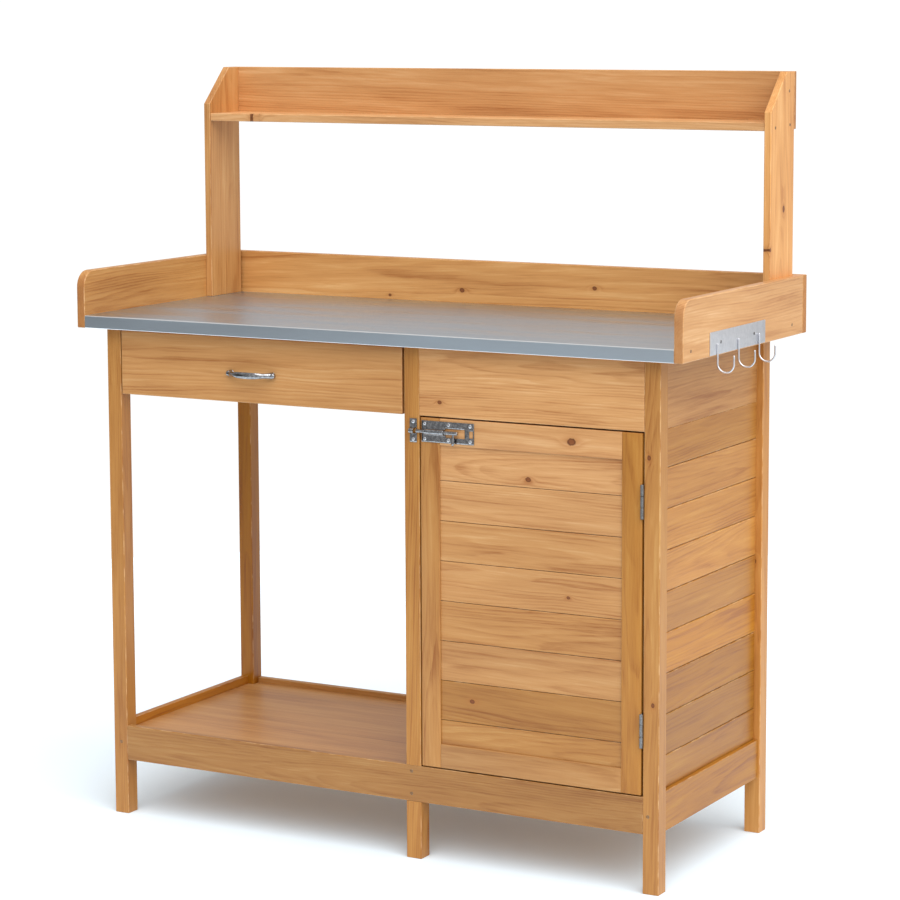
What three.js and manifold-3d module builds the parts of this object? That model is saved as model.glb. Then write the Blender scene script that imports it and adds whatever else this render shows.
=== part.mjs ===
// Potting bench: an open bay with a drawer above it, a cabinet with a slatted door, a galvanised
// worktop inside a low curb, and a raised shelf on two planks. Millimetres, +Z up, front towards -Y.
import * as THREE from "three";
import { mergeVertices } from "three/addons/utils/BufferGeometryUtils.js";
import Module from "manifold-3d";

const wasm = await Module();
wasm.setup();

// Driving dimensions. X runs from the left leg's outer face, Y from the front legs' front face
// and Z from the floor.
const legSize = 28;
const frameWidth = 1050;
const frameDepth = 435;
const legHeight = 857;
const middleLegX = 590;
const clearance = 0.25; // between pieces that are fitted round each other
const cutMargin = 1; // how far a cutter runs past the face it cuts
const mergeDistance = 1e-4;
const barSides = 16; // of a round bar, where nothing finer is asked for

const railThickness = 12;
const railBottom = 97;
const frontRailTop = 158;
const sideRailTop = 163;
const sideRailInset = 4; // how far the side rails lie inside the legs' outer faces

const floorBottom = 136;
const floorThickness = 12;
const boardThickness = 10; // siding and aprons
const sidingInset = 12; // how far the siding lies inside the legs' outer faces
const boardPitch = 66.25; // height of one siding board or door slat
const firstSidingJoint = 217;
const grooveWidth = 3;
const grooveDepth = 2;
const partitionThickness = 8;
const partitionX = 606;
const backPanelY = 412;
const backPanelThickness = 8;
const backApronHeight = 77;

const frontFaceBottom = 743; // bottom of the drawer front, fixed panel and side aprons
const frontFaceThickness = 14;
const drawerFrontLeft = 30;
const drawerFrontRight = 586;
const drawerFrontTop = 853;
const drawerSideLeft = 38;
const drawerSideRight = 578;
const drawerBoard = 10;
const drawerBottom = 756;
const drawerSideTop = 836;
const drawerBack = 384;
const drawerPly = 4;
const runnerBottom = 745.5;
const runnerThickness = 10;
const runnerInnerLeft = 52;
const runnerInnerRight = 562;

const handleX = 296;
const handleZ = 792;
const handleFootSpacing = 79;
const handleOverall = 96;
const handleReach = 23;
const handleFootRadius = 5.5;
const handleFootDepth = 9; // from the drawer front to the wire
const handleWireRadius = 3;
const handleEndDepth = 6; // of the wire's middle line at its ends, over its feet and at its shoulders
const handleOverFootDepth = 10;
const handleShoulderDepth = 19;
const handleMiddleDepth = 20;
const handleSteps = 24;
const handleSides = 10;

const tabletopThickness = 20;
const sheetThickness = 1;
const worktopOverhang = 31; // beyond the legs at each end
const worktopFront = -20;
const sheetFoldBottom = 856;
const sheetReturn = 9;

const curbThickness = 16;
const curbBottom = 856;
const curbTop = 954;
const curbCornerRadius = 28;
const cornerSegments = 8;
const curbBackFront = 462; // front face of the back curb

const uprightThickness = 12.5;
const uprightFront = 356;
const uprightBack = 454;
const benchHeight = 1294;
const uprightSlantBottom = 1229;
const uprightSlantBack = 421;
const topShelfBottom = 1198;
const topShelfThickness = 14;
const topShelfFront = 358;
const shelfBackThickness = 8;

const doorLeft = 620.5;
const doorRight = 1018.5;
const doorBottom = 160;
const doorTop = 740.5;
const doorThickness = 16;
const doorStileWidth = 35;
const doorTopRailBottom = 696.5;
const doorBottomRailTop = 200.5;
const slotFront = 3; // the groove that holds the slats, measured from the door's face
const slotBack = 11;
const slotDepth = 8;
const slatEndGap = 0.5;
const firstSlatJoint = 241;
const slatCount = 8;
const slatGap = 0.3;

const hingeAxisX = 1020.25;
const hingeAxisY = -3;
const hingeLength = 55;
const hingeBottoms = { lower: 238, upper: 605 };
const hingeRadius = 3;
const hingePinRadius = 1.3;
const hingePinInset = 1; // how far the pin stops short of the hinge's ends
const hingeBoreRadius = 1.6;
const hingeLeafThickness = 1.25;
const hingeLeafBack = 22;
const hingeLeafStart = 0.5;
const knuckleLength = 18;
const knuckleGap = 0.5;

const latchZ = 718.5; // height of the bolt's axis
const latchY = -5.5;
const latchPlateThickness = 1.5;
const latchPlate = { left: 623, right: 720, bottom: 701, top: 736 };
const latchWindow = { left: 667, right: 703, bottom: 710, top: 725 };
const latchHole = { left: 711, right: 718, bottom: 712.5, top: 723.5 };
const barrelLeft = 632;
const barrelRight = 667;
const barrelRadius = 5;
const boltRadius = 3;
const boltBoreRadius = 3.4;
const boltLeft = 615;
const boltRight = 692;
const boltKnobX = 684;
const boltKnobLength = 20;
const boltKnobLean = 0.08; // radians that the knob leans forward from straight down
const keeperPlate = { left: 601, right: 614, bottom: 699, top: 738 };
const keeperBoreRadius = 3.7;
const latchScrewPositions = [629, 673, 713];
const latchScrewInset = 5; // from the plate's upper and lower edges
const latchSides = 24;

const rackPlate = { front: 78, back: 298, bottom: 858, top: 895 };
const rackThickness = 1.5;
const hookWireRadius = 1.5;
const hookSpan = 28;
const hookDrop = 14;
const hookRise = 16;
const hookPositions = [104, 187, 270];
const rackScrews = [119, 252];
const hookBendSteps = 12;
const hookSteps = 30;
const hookSides = 8;

const screwRadius = 3.2;
const screwHeight = 0.8;
const screwSink = 0.5; // how far the head reaches into its plate
const screwSides = 12;

// Derived positions.
const rightLegX = frameWidth - legSize;
const backLegY = frameDepth - legSize;
const middleLegRight = middleLegX + legSize;
const floorTop = floorBottom + floorThickness;
const tabletopTop = legHeight + tabletopThickness;
const worktopTop = tabletopTop + sheetThickness;
const worktopLeft = -worktopOverhang;
const worktopRight = frameWidth + worktopOverhang;
const sheetFront = worktopFront - sheetThickness;
const curbLeft = worktopLeft - curbThickness;
const curbRight = worktopRight + curbThickness;
const curbBack = curbBackFront + curbThickness;
const partitionRight = partitionX + partitionThickness;
const sidingOuterX = frameWidth - sidingInset;
const sidingInnerX = sidingOuterX - boardThickness;
const hookFarX = curbRight + rackThickness + hookSpan + 2 * hookWireRadius - clearance;
const handleFarY = -handleReach;

const pieces = new THREE.Group();
pieces.name = "potting_bench";

// Closed solids and booleans.

function solidOf(geometry) {
  const bare = geometry.clone();
  bare.deleteAttribute("normal");
  bare.deleteAttribute("uv");
  const merged = mergeVertices(bare, mergeDistance);
  const mesh = new wasm.Mesh({
    numProp: 3,
    vertProperties: merged.attributes.position.array,
    triVerts: new Uint32Array(merged.index.array),
  });
  return new wasm.Manifold(mesh);
}

function geometryOf(solid) {
  const mesh = solid.getMesh();
  const geometry = new THREE.BufferGeometry();
  geometry.setAttribute("position", new THREE.BufferAttribute(mesh.vertProperties, 3));
  geometry.setIndex(new THREE.BufferAttribute(mesh.triVerts, 1));
  geometry.computeVertexNormals();
  return geometry;
}

function joined(...geometries) {
  return geometryOf(geometries.map(solidOf).reduce((whole, next) => whole.add(next)));
}

function cutBy(geometry, ...cutters) {
  return geometryOf(cutters.map(solidOf).reduce((whole, next) => whole.subtract(next), solidOf(geometry)));
}

// A block given by its low and high X, Y and Z.
function block(x0, x1, y0, y1, z0, z1) {
  const geometry = new THREE.BoxGeometry(x1 - x0, y1 - y0, z1 - z0);
  geometry.translate((x0 + x1) / 2, (y0 + y1) / 2, (z0 + z1) / 2);
  return geometry;
}

// An outline of [Y, Z] points, extruded along +X.
function extrudedAlongX(shape, x0, x1) {
  const geometry = new THREE.ExtrudeGeometry(shape, {
    depth: x1 - x0,
    bevelEnabled: false,
    curveSegments: cornerSegments,
  });
  const toYZX = new THREE.Matrix4().set(0, 0, 1, x0, 1, 0, 0, 0, 0, 1, 0, 0, 0, 0, 0, 1);
  return geometry.applyMatrix4(toYZX);
}

// An outline of [X, Z] points, extruded along +Y.
function extrudedAlongY(shape, y0, y1) {
  const geometry = new THREE.ExtrudeGeometry(shape, { depth: y1 - y0, bevelEnabled: false });
  const toXZY = new THREE.Matrix4().set(1, 0, 0, 0, 0, 0, -1, y1, 0, 1, 0, 0, 0, 0, 0, 1);
  return geometry.applyMatrix4(toXZY);
}

function outline(points) {
  return new THREE.Shape(points.map(([u, v]) => new THREE.Vector2(u, v)));
}

// A round bar between two points.
function bar(radius, from, to, sides = barSides) {
  const start = new THREE.Vector3(...from);
  const end = new THREE.Vector3(...to);
  const axis = end.clone().sub(start);
  const geometry = new THREE.CylinderGeometry(radius, radius, axis.length(), sides);
  const turn = new THREE.Quaternion().setFromUnitVectors(
    new THREE.Vector3(0, 1, 0),
    axis.clone().normalize(),
  );
  geometry.applyQuaternion(turn);
  const middle = start.add(end).multiplyScalar(0.5);
  geometry.translate(middle.x, middle.y, middle.z);
  return geometry;
}

// A round tube along a curve, closed at both ends.
function wireAlong(curve, radius, steps, sides = handleSides) {
  const section = new THREE.Shape();
  for (let i = 0; i < sides; i += 1) {
    const angle = (2 * Math.PI * i) / sides;
    const point = [radius * Math.cos(angle), radius * Math.sin(angle)];
    if (i === 0) {
      section.moveTo(...point);
    } else {
      section.lineTo(...point);
    }
  }
  return new THREE.ExtrudeGeometry(section, { steps, extrudePath: curve, bevelEnabled: false });
}

// Materials: one per node, so that each piece of wood keeps its own tone.

const finishes = {
  wood: { color: 0xc98a4b, roughness: 0.55, metalness: 0 },
  steel: { color: 0xa9adb0, roughness: 0.35, metalness: 1 },
  chrome: { color: 0xd4d6d8, roughness: 0.15, metalness: 1 },
};
const woodToneSpread = 0.02; // of lightness, from one board to the next
const woodToneStep = 2.4; // radians
let woodCount = 0;

function wood() {
  const material = new THREE.MeshStandardMaterial(finishes.wood);
  material.color.offsetHSL(0, 0, woodToneSpread * Math.sin(woodToneStep * woodCount));
  woodCount += 1;
  return material;
}

const steel = () => new THREE.MeshStandardMaterial(finishes.steel);
const chrome = () => new THREE.MeshStandardMaterial(finishes.chrome);

function add(name, geometry, material = wood()) {
  const mesh = new THREE.Mesh(geometry, material);
  mesh.name = name;
  pieces.add(mesh);
}

// Legs. The middle pair is notched so that the long rails run through it, flush.

const corners = [
  ["leg_front_left", 0, 0],
  ["leg_front_right", rightLegX, 0],
  ["leg_back_left", 0, backLegY],
  ["leg_back_right", rightLegX, backLegY],
];
for (const [name, x, y] of corners) {
  add(name, block(x, x + legSize, y, y + legSize, 0, legHeight));
}

const notchLeft = middleLegX - cutMargin;
const notchRight = middleLegRight + cutMargin;
const frontNotch = block(notchLeft, notchRight, -cutMargin, railThickness, railBottom, frontRailTop);
const backNotch = block(
  notchLeft, notchRight, frameDepth - railThickness, frameDepth + cutMargin, railBottom, frontRailTop,
);
const middleLegs = [
  ["leg_front_middle", 0, frontNotch],
  ["leg_back_middle", backLegY, backNotch],
];
for (const [name, y, notch] of middleLegs) {
  add(name, cutBy(block(middleLegX, middleLegRight, y, y + legSize, 0, legHeight), notch));
}

// Bottom rails.

add("rail_front", block(legSize, rightLegX, 0, railThickness, railBottom, frontRailTop));
add(
  "rail_back",
  block(legSize, rightLegX, frameDepth - railThickness, frameDepth, railBottom, frontRailTop),
);
const sideRails = [
  ["rail_left", sideRailInset],
  ["rail_right", frameWidth - sideRailInset - railThickness],
];
for (const [name, x] of sideRails) {
  add(name, block(x, x + railThickness, legSize, backLegY, railBottom, sideRailTop));
}

// Floors of the open bay and of the cabinet, cut out round the legs.

function legHoles() {
  const holes = [];
  for (const x of [0, middleLegX, rightLegX]) {
    for (const y of [0, backLegY]) {
      holes.push(
        block(
          x - clearance, x + legSize + clearance, y - clearance, y + legSize + clearance,
          floorBottom - cutMargin, floorTop + cutMargin,
        ),
      );
    }
  }
  return holes;
}

const floors = [
  ["floor_bay", sideRailInset + railThickness, partitionX],
  ["floor_cabinet", partitionRight, frameWidth - sideRailInset - railThickness],
];
for (const [name, x0, x1] of floors) {
  const board = block(x0, x1, railThickness, frameDepth - railThickness, floorBottom, floorTop);
  add(name, cutBy(board, ...legHoles()));
}

// Panels of tongued boards: the joints show as shallow V grooves.

function jointHeights(bottom, top) {
  const heights = [];
  for (let z = firstSidingJoint; z < top - boardPitch / 4; z += boardPitch) {
    if (z > bottom) {
      heights.push(z);
    }
  }
  return heights;
}

// The [depth, Z] outline of a panel between two depths, grooved on the sides asked for.
function groovedOutline(near, far, bottom, top, grooveNear, grooveFar) {
  const half = grooveWidth / 2;
  const heights = jointHeights(bottom, top);
  const farSide = [];
  const nearSide = [];
  for (const z of heights) {
    if (grooveFar) {
      farSide.push([far, z - half], [far - grooveDepth, z], [far, z + half]);
    }
    if (grooveNear) {
      nearSide.unshift([near, z + half], [near + grooveDepth, z], [near, z - half]);
    }
  }
  return outline([[near, bottom], [far, bottom], ...farSide, [far, top], [near, top], ...nearSide]);
}

add(
  "siding_right",
  extrudedAlongY(
    groovedOutline(sidingInnerX, sidingOuterX, sideRailTop, frontFaceBottom, false, true),
    legSize,
    backLegY,
  ),
);
add(
  "partition",
  extrudedAlongY(
    groovedOutline(partitionX, partitionRight, railBottom, legHeight, true, false),
    legSize,
    backLegY,
  ),
);
add(
  "back_panel",
  extrudedAlongX(
    groovedOutline(
      backPanelY, backPanelY + backPanelThickness, floorTop, legHeight, false, true,
    ),
    middleLegRight,
    rightLegX,
  ),
);

// Aprons and the fixed panel over the door.

add("apron_right", block(sidingInnerX, sidingOuterX, legSize, backLegY, frontFaceBottom, legHeight));
add(
  "apron_left",
  block(sidingInset, sidingInset + boardThickness, legSize, backLegY, frontFaceBottom, legHeight),
);
add(
  "apron_back",
  block(
    legSize, middleLegX, backPanelY, backPanelY + boardThickness,
    legHeight - backApronHeight, legHeight,
  ),
);
add("panel_front", block(middleLegRight, rightLegX, 0, frontFaceThickness, frontFaceBottom, legHeight));

// Worktop: a board, and a sheet folded down its front edge and back under it.

add(
  "tabletop_board",
  block(worktopLeft, worktopRight, worktopFront, curbBackFront, legHeight, tabletopTop),
);
const sheetOutline = outline([
  [sheetFront, sheetFoldBottom],
  [sheetFront + sheetReturn, sheetFoldBottom],
  [sheetFront + sheetReturn, legHeight],
  [worktopFront, legHeight],
  [worktopFront, tabletopTop],
  [curbBackFront, tabletopTop],
  [curbBackFront, worktopTop],
  [sheetFront, worktopTop],
]);
add("worktop_sheet", extrudedAlongX(sheetOutline, worktopLeft, worktopRight), steel());

// Curbs. The side ones have a rounded top front corner and butt against the back one.

const curbShape = new THREE.Shape();
curbShape.moveTo(sheetFront, curbBottom);
curbShape.lineTo(curbBackFront, curbBottom);
curbShape.lineTo(curbBackFront, curbTop);
curbShape.lineTo(sheetFront + curbCornerRadius, curbTop);
curbShape.absarc(
  sheetFront + curbCornerRadius, curbTop - curbCornerRadius, curbCornerRadius, Math.PI / 2, Math.PI, false,
);
add("curb_left", extrudedAlongX(curbShape, curbLeft, worktopLeft));
add("curb_right", extrudedAlongX(curbShape, worktopRight, curbRight));
add("curb_back", block(curbLeft, curbRight, curbBackFront, curbBack, curbBottom, curbTop));

// Raised shelf: two planks with a slanted top, the shelf between them and a board behind.

const uprightOutline = outline([
  [uprightFront, worktopTop],
  [uprightBack, worktopTop],
  [uprightBack, benchHeight],
  [uprightSlantBack, benchHeight],
  [uprightFront, uprightSlantBottom],
]);
const uprightInnerLeft = worktopLeft + uprightThickness;
const uprightInnerRight = worktopRight - uprightThickness;
add("upright_left", extrudedAlongX(uprightOutline, worktopLeft, uprightInnerLeft));
add("upright_right", extrudedAlongX(uprightOutline, uprightInnerRight, worktopRight));
add(
  "top_shelf",
  block(
    uprightInnerLeft, uprightInnerRight, topShelfFront, uprightBack,
    topShelfBottom, topShelfBottom + topShelfThickness,
  ),
);
add(
  "top_shelf_back",
  block(
    worktopLeft, worktopRight, uprightBack, uprightBack + shelfBackThickness,
    topShelfBottom, benchHeight,
  ),
);

// Screw heads that stand on a face whose outward direction is -Y or +X.

function screwOnFront(x, y, z) {
  return bar(screwRadius, [x, y + screwSink, z], [x, y - screwHeight, z], screwSides);
}

function screwOnRight(x, y, z) {
  return bar(screwRadius, [x - screwSink, y, z], [x + screwHeight, y, z], screwSides);
}

// Hook rack on the right curb: a plate with three welded wire hooks.

const rackFaceX = curbRight + rackThickness;
const hookWireX = rackFaceX + hookWireRadius - clearance;

function hook(y) {
  const bend = hookSpan / 2;
  const bendZ = rackPlate.bottom - hookDrop;
  const centreX = hookWireX + bend;
  const path = new THREE.CurvePath();
  const top = new THREE.Vector3(hookWireX, y, rackPlate.bottom + hookRise);
  const bendStart = new THREE.Vector3(hookWireX, y, bendZ);
  path.add(new THREE.LineCurve3(top, bendStart));
  const bendPoints = [];
  for (let i = 0; i <= hookBendSteps; i += 1) {
    const angle = Math.PI + (Math.PI * i) / hookBendSteps;
    bendPoints.push(
      new THREE.Vector3(centreX + bend * Math.cos(angle), y, bendZ + bend * Math.sin(angle)),
    );
  }
  path.add(new THREE.CatmullRomCurve3(bendPoints));
  const tip = new THREE.Vector3(hookWireX + hookSpan, y, rackPlate.bottom);
  path.add(new THREE.LineCurve3(bendPoints[hookBendSteps], tip));
  return wireAlong(path, hookWireRadius, hookSteps, hookSides);
}

const rackSheet = block(
  curbRight, rackFaceX, rackPlate.front, rackPlate.back, rackPlate.bottom, rackPlate.top,
);
const rackScrewHeads = rackScrews.map((y) =>
  screwOnRight(rackFaceX, y, (rackPlate.bottom + rackPlate.top) / 2),
);
add("hook_rack", joined(rackSheet, ...hookPositions.map(hook), ...rackScrewHeads), steel());

// Drawer and its runners.

add(
  "drawer_front",
  block(
    drawerFrontLeft, drawerFrontRight, 0, frontFaceThickness, frontFaceBottom, drawerFrontTop,
  ),
);
const drawerSides = [
  ["drawer_side_left", drawerSideLeft],
  ["drawer_side_right", drawerSideRight - drawerBoard],
];
for (const [name, x] of drawerSides) {
  add(name, block(x, x + drawerBoard, frontFaceThickness, drawerBack, drawerBottom, drawerSideTop));
}
const drawerInnerLeft = drawerSideLeft + drawerBoard;
const drawerInnerRight = drawerSideRight - drawerBoard;
add(
  "drawer_back",
  block(
    drawerInnerLeft, drawerInnerRight, drawerBack - drawerBoard, drawerBack, drawerBottom, drawerSideTop,
  ),
);
add(
  "drawer_bottom",
  block(
    drawerInnerLeft, drawerInnerRight, frontFaceThickness, drawerBack - drawerBoard,
    drawerBottom, drawerBottom + drawerPly,
  ),
);
add(
  "runner_left",
  block(
    sidingInset + boardThickness, runnerInnerLeft, legSize, backLegY,
    runnerBottom, runnerBottom + runnerThickness,
  ),
);
add(
  "runner_right",
  block(
    runnerInnerRight, partitionX, legSize, backLegY, runnerBottom, runnerBottom + runnerThickness,
  ),
);

const handleHalf = handleOverall / 2;
const handleFootHalf = handleFootSpacing / 2;
const handleStations = [
  [-handleHalf, handleEndDepth],
  [-handleFootHalf, handleOverFootDepth],
  [-handleFootHalf / 2, handleShoulderDepth],
  [0, handleMiddleDepth],
  [handleFootHalf / 2, handleShoulderDepth],
  [handleFootHalf, handleOverFootDepth],
  [handleHalf, handleEndDepth],
];
const handlePath = new THREE.CatmullRomCurve3(
  handleStations.map(([offset, depth]) => new THREE.Vector3(handleX + offset, -depth, handleZ)),
);
const handleFeet = [-handleFootHalf, handleFootHalf].map((offset) =>
  bar(
    handleFootRadius, [handleX + offset, 0, handleZ], [handleX + offset, -handleFootDepth, handleZ],
  ),
);
add("drawer_handle", joined(wireAlong(handlePath, handleWireRadius, handleSteps), ...handleFeet), chrome());

// Door: grooved stiles and rails round eight slats.

const stileInnerLeft = doorLeft + doorStileWidth;
const stileInnerRight = doorRight - doorStileWidth;
const slotBottom = doorBottomRailTop - slotDepth;
const slotTop = doorTopRailBottom + slotDepth;
const stileSlots = [
  block(
    stileInnerLeft - slotDepth, stileInnerLeft + cutMargin, slotFront, slotBack, slotBottom, slotTop,
  ),
  block(
    stileInnerRight - cutMargin, stileInnerRight + slotDepth, slotFront, slotBack, slotBottom, slotTop,
  ),
];
const railSlots = [
  block(
    stileInnerLeft - cutMargin, stileInnerRight + cutMargin, slotFront, slotBack,
    doorTopRailBottom - cutMargin, slotTop,
  ),
  block(
    stileInnerLeft - cutMargin, stileInnerRight + cutMargin, slotFront, slotBack,
    slotBottom, doorBottomRailTop + cutMargin,
  ),
];
add(
  "door_stile_left",
  cutBy(block(doorLeft, stileInnerLeft, 0, doorThickness, doorBottom, doorTop), stileSlots[0]),
);
add(
  "door_stile_right",
  cutBy(block(stileInnerRight, doorRight, 0, doorThickness, doorBottom, doorTop), stileSlots[1]),
);
add(
  "door_rail_top",
  cutBy(
    block(stileInnerLeft, stileInnerRight, 0, doorThickness, doorTopRailBottom, doorTop),
    railSlots[0],
  ),
);
add(
  "door_rail_bottom",
  cutBy(
    block(stileInnerLeft, stileInnerRight, 0, doorThickness, doorBottom, doorBottomRailTop),
    railSlots[1],
  ),
);

const slatBottom = slotBottom + slatEndGap;
const slatTop = slotTop - slatEndGap;
for (let i = 0; i < slatCount; i += 1) {
  const lowJoint = firstSlatJoint + (i - 1) * boardPitch;
  const low = i === 0 ? slatBottom : lowJoint + slatGap / 2;
  const high = i === slatCount - 1 ? slatTop : lowJoint + boardPitch - slatGap / 2;
  add(
    "door_slat_" + (i + 1),
    block(
      stileInnerLeft - slotDepth + slatEndGap, stileInnerRight + slotDepth - slatEndGap,
      slotFront + clearance, slotBack - clearance, low, high,
    ),
  );
}

// Butt hinges in the gap between the door and the right leg. The frame's leaf carries the pin.

function knuckle(z0, z1) {
  return bar(hingeRadius, [hingeAxisX, hingeAxisY, z0], [hingeAxisX, hingeAxisY, z1]);
}

for (const [place, z0] of Object.entries(hingeBottoms)) {
  const z1 = z0 + hingeLength;
  const tabLow = z0 + knuckleLength;
  const tabHigh = z1 - knuckleLength;
  const frameLeafX = rightLegX - hingeLeafThickness;
  const doorLeafX = doorRight + hingeLeafThickness;
  const frameLeaf = joined(
    block(frameLeafX, rightLegX, hingeLeafStart, hingeLeafBack, z0, z1),
    block(frameLeafX, rightLegX, hingeAxisY, hingeLeafStart, z0, tabLow),
    block(frameLeafX, rightLegX, hingeAxisY, hingeLeafStart, tabHigh, z1),
    knuckle(z0, tabLow),
    knuckle(tabHigh, z1),
    bar(
      hingePinRadius,
      [hingeAxisX, hingeAxisY, z0 + hingePinInset],
      [hingeAxisX, hingeAxisY, z1 - hingePinInset],
    ),
  );
  const middleLow = tabLow + knuckleGap;
  const middleHigh = tabHigh - knuckleGap;
  const doorLeaf = cutBy(
    joined(
      block(doorRight, doorLeafX, hingeLeafStart, hingeLeafBack, z0, z1),
      block(doorRight, doorLeafX, hingeAxisY, hingeLeafStart, middleLow, middleHigh),
      knuckle(middleLow, middleHigh),
    ),
    bar(hingeBoreRadius, [hingeAxisX, hingeAxisY, z0], [hingeAxisX, hingeAxisY, z1]),
  );
  add("hinge_" + place + "_frame_leaf", frameLeaf, steel());
  add("hinge_" + place + "_door_leaf", doorLeaf, steel());
}

// Slide latch: a plate with a raised barrel on the door, the bolt in it, and a keeper on the middle leg.

function barrel(x0, x1, radius) {
  return joined(
    bar(radius, [x0, latchY, latchZ], [x1, latchY, latchZ], latchSides),
    block(x0, x1, latchY, -latchPlateThickness / 2, latchZ - radius, latchZ + radius),
  );
}

const latchScrewHeads = [];
for (const x of latchScrewPositions) {
  for (const z of [latchPlate.bottom + latchScrewInset, latchPlate.top - latchScrewInset]) {
    latchScrewHeads.push(screwOnFront(x, -latchPlateThickness, z));
  }
}
function cutOut({ left, right, bottom, top }) {
  return block(left, right, -2 * latchPlateThickness, cutMargin, bottom, top);
}

const latchBody = joined(
  block(latchPlate.left, latchPlate.right, -latchPlateThickness, 0, latchPlate.bottom, latchPlate.top),
  barrel(barrelLeft, barrelRight, barrelRadius),
  ...latchScrewHeads,
);
const latchPlateGeometry = cutBy(
  latchBody,
  cutOut(latchWindow),
  cutOut(latchHole),
  bar(
    boltBoreRadius,
    [barrelLeft - cutMargin, latchY, latchZ],
    [barrelRight + cutMargin, latchY, latchZ],
    latchSides,
  ),
);
add("latch_plate", latchPlateGeometry, chrome());

const knobEnd = [
  boltKnobX,
  latchY - boltKnobLength * Math.sin(boltKnobLean),
  latchZ - boltKnobLength * Math.cos(boltKnobLean),
];
add(
  "latch_bolt",
  joined(
    bar(boltRadius, [boltLeft, latchY, latchZ], [boltRight, latchY, latchZ], latchSides),
    bar(boltRadius, [boltKnobX, latchY, latchZ], knobEnd),
  ),
  chrome(),
);

const keeperMiddleX = (keeperPlate.left + keeperPlate.right) / 2;
const keeperBody = joined(
  block(keeperPlate.left, keeperPlate.right, -latchPlateThickness, 0, keeperPlate.bottom, keeperPlate.top),
  barrel(keeperPlate.left, keeperPlate.right, barrelRadius),
  screwOnFront(keeperMiddleX, -latchPlateThickness, keeperPlate.bottom + latchScrewInset),
  screwOnFront(keeperMiddleX, -latchPlateThickness, keeperPlate.top - latchScrewInset),
);
add(
  "latch_keeper",
  cutBy(
    keeperBody,
    bar(
      keeperBoreRadius,
      [keeperPlate.left - cutMargin, latchY, latchZ],
      [keeperPlate.right + cutMargin, latchY, latchZ],
      latchSides,
    ),
  ),
  chrome(),
);

// The part's origin is the middle of its box on the floor.
pieces.position.set(-(curbLeft + hookFarX) / 2, -(handleFarY + curbBack) / 2, 0);

export default pieces;
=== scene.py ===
import math

import bmesh
import bpy
import numpy as np
from mathutils import Euler, Matrix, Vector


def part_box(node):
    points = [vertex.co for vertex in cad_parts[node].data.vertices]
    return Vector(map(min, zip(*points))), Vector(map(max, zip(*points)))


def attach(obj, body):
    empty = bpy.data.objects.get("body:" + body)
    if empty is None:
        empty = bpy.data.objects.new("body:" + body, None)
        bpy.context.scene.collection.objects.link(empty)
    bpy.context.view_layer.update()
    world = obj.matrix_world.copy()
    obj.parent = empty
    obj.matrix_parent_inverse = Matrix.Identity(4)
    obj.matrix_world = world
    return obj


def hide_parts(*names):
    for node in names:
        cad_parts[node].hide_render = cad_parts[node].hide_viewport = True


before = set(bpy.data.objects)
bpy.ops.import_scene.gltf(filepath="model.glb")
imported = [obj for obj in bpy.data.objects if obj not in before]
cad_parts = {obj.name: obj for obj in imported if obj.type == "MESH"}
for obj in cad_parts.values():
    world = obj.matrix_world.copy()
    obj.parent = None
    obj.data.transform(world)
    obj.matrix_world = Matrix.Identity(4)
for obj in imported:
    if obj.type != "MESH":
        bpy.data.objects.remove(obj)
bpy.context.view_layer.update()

mm = 0.001
axisOf = {"X": 0, "Y": 1, "Z": 2}
endShare = 0.8            # a board's ends are eased a little less than its edges
allAxes = np.eye(3)


def shade(red, green, blue):
    # display colour, 0 to 255, to the linear colour that sockets hold
    c = np.array([red, green, blue]) / 255
    return (*np.where(c <= 0.04045, c / 12.92, ((c + 0.055) / 1.055) ** 2.4).tolist(), 1.0)


def put(tree, kind, feeds=None, **settings):
    # one node with its settings; a feed is a socket to link or a value to set
    node = tree.nodes.new(kind)
    for key, value in settings.items():
        setattr(node, key, value)
    for key, value in (feeds or {}).items():
        if isinstance(value, bpy.types.NodeSocket):
            tree.links.new(value, node.inputs[key])
        else:
            node.inputs[key].default_value = value
    return node


def sums(tree, operation, first, second=0.0, third=0.0, clamp=False):
    node = put(tree, "ShaderNodeMath", {0: first, 1: second}, operation=operation, use_clamp=clamp)
    if operation in ("MULTIPLY_ADD", "SMOOTH_MIN", "SMOOTH_MAX"):
        if isinstance(third, bpy.types.NodeSocket):
            tree.links.new(third, node.inputs[2])
        else:
            node.inputs[2].default_value = third
    return node.outputs[0]


def vectorSum(tree, operation, first, second):
    return put(tree, "ShaderNodeVectorMath", {0: first, 1: second}, operation=operation).outputs[0]


def stretched(tree, vector, factors):
    return vectorSum(tree, "MULTIPLY", vector, factors)


def cloudy(tree, vector, factors, detail=2.0, rough=0.5, colour=False):
    # noise whose lumps are 1/factors metres long each way
    place = stretched(tree, vector, factors)
    feeds = {"Vector": place, "Scale": 1.0, "Detail": detail, "Roughness": rough}
    node = put(tree, "ShaderNodeTexNoise", feeds)
    return node.outputs["Color" if colour else "Fac"]


def eased(tree, value, low, high, toLow=0.0, toHigh=1.0):
    return put(tree, "ShaderNodeMapRange",
               {"Value": value, "From Min": low, "From Max": high, "To Min": toLow, "To Max": toHigh},
               interpolation_type="SMOOTHSTEP").outputs[0]


def blended(tree, factor, first, second, way="MIX"):
    node = put(tree, "ShaderNodeMix", {0: factor, 6: first, 7: second}, data_type="RGBA", blend_type=way)
    return node.outputs[2]


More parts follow.
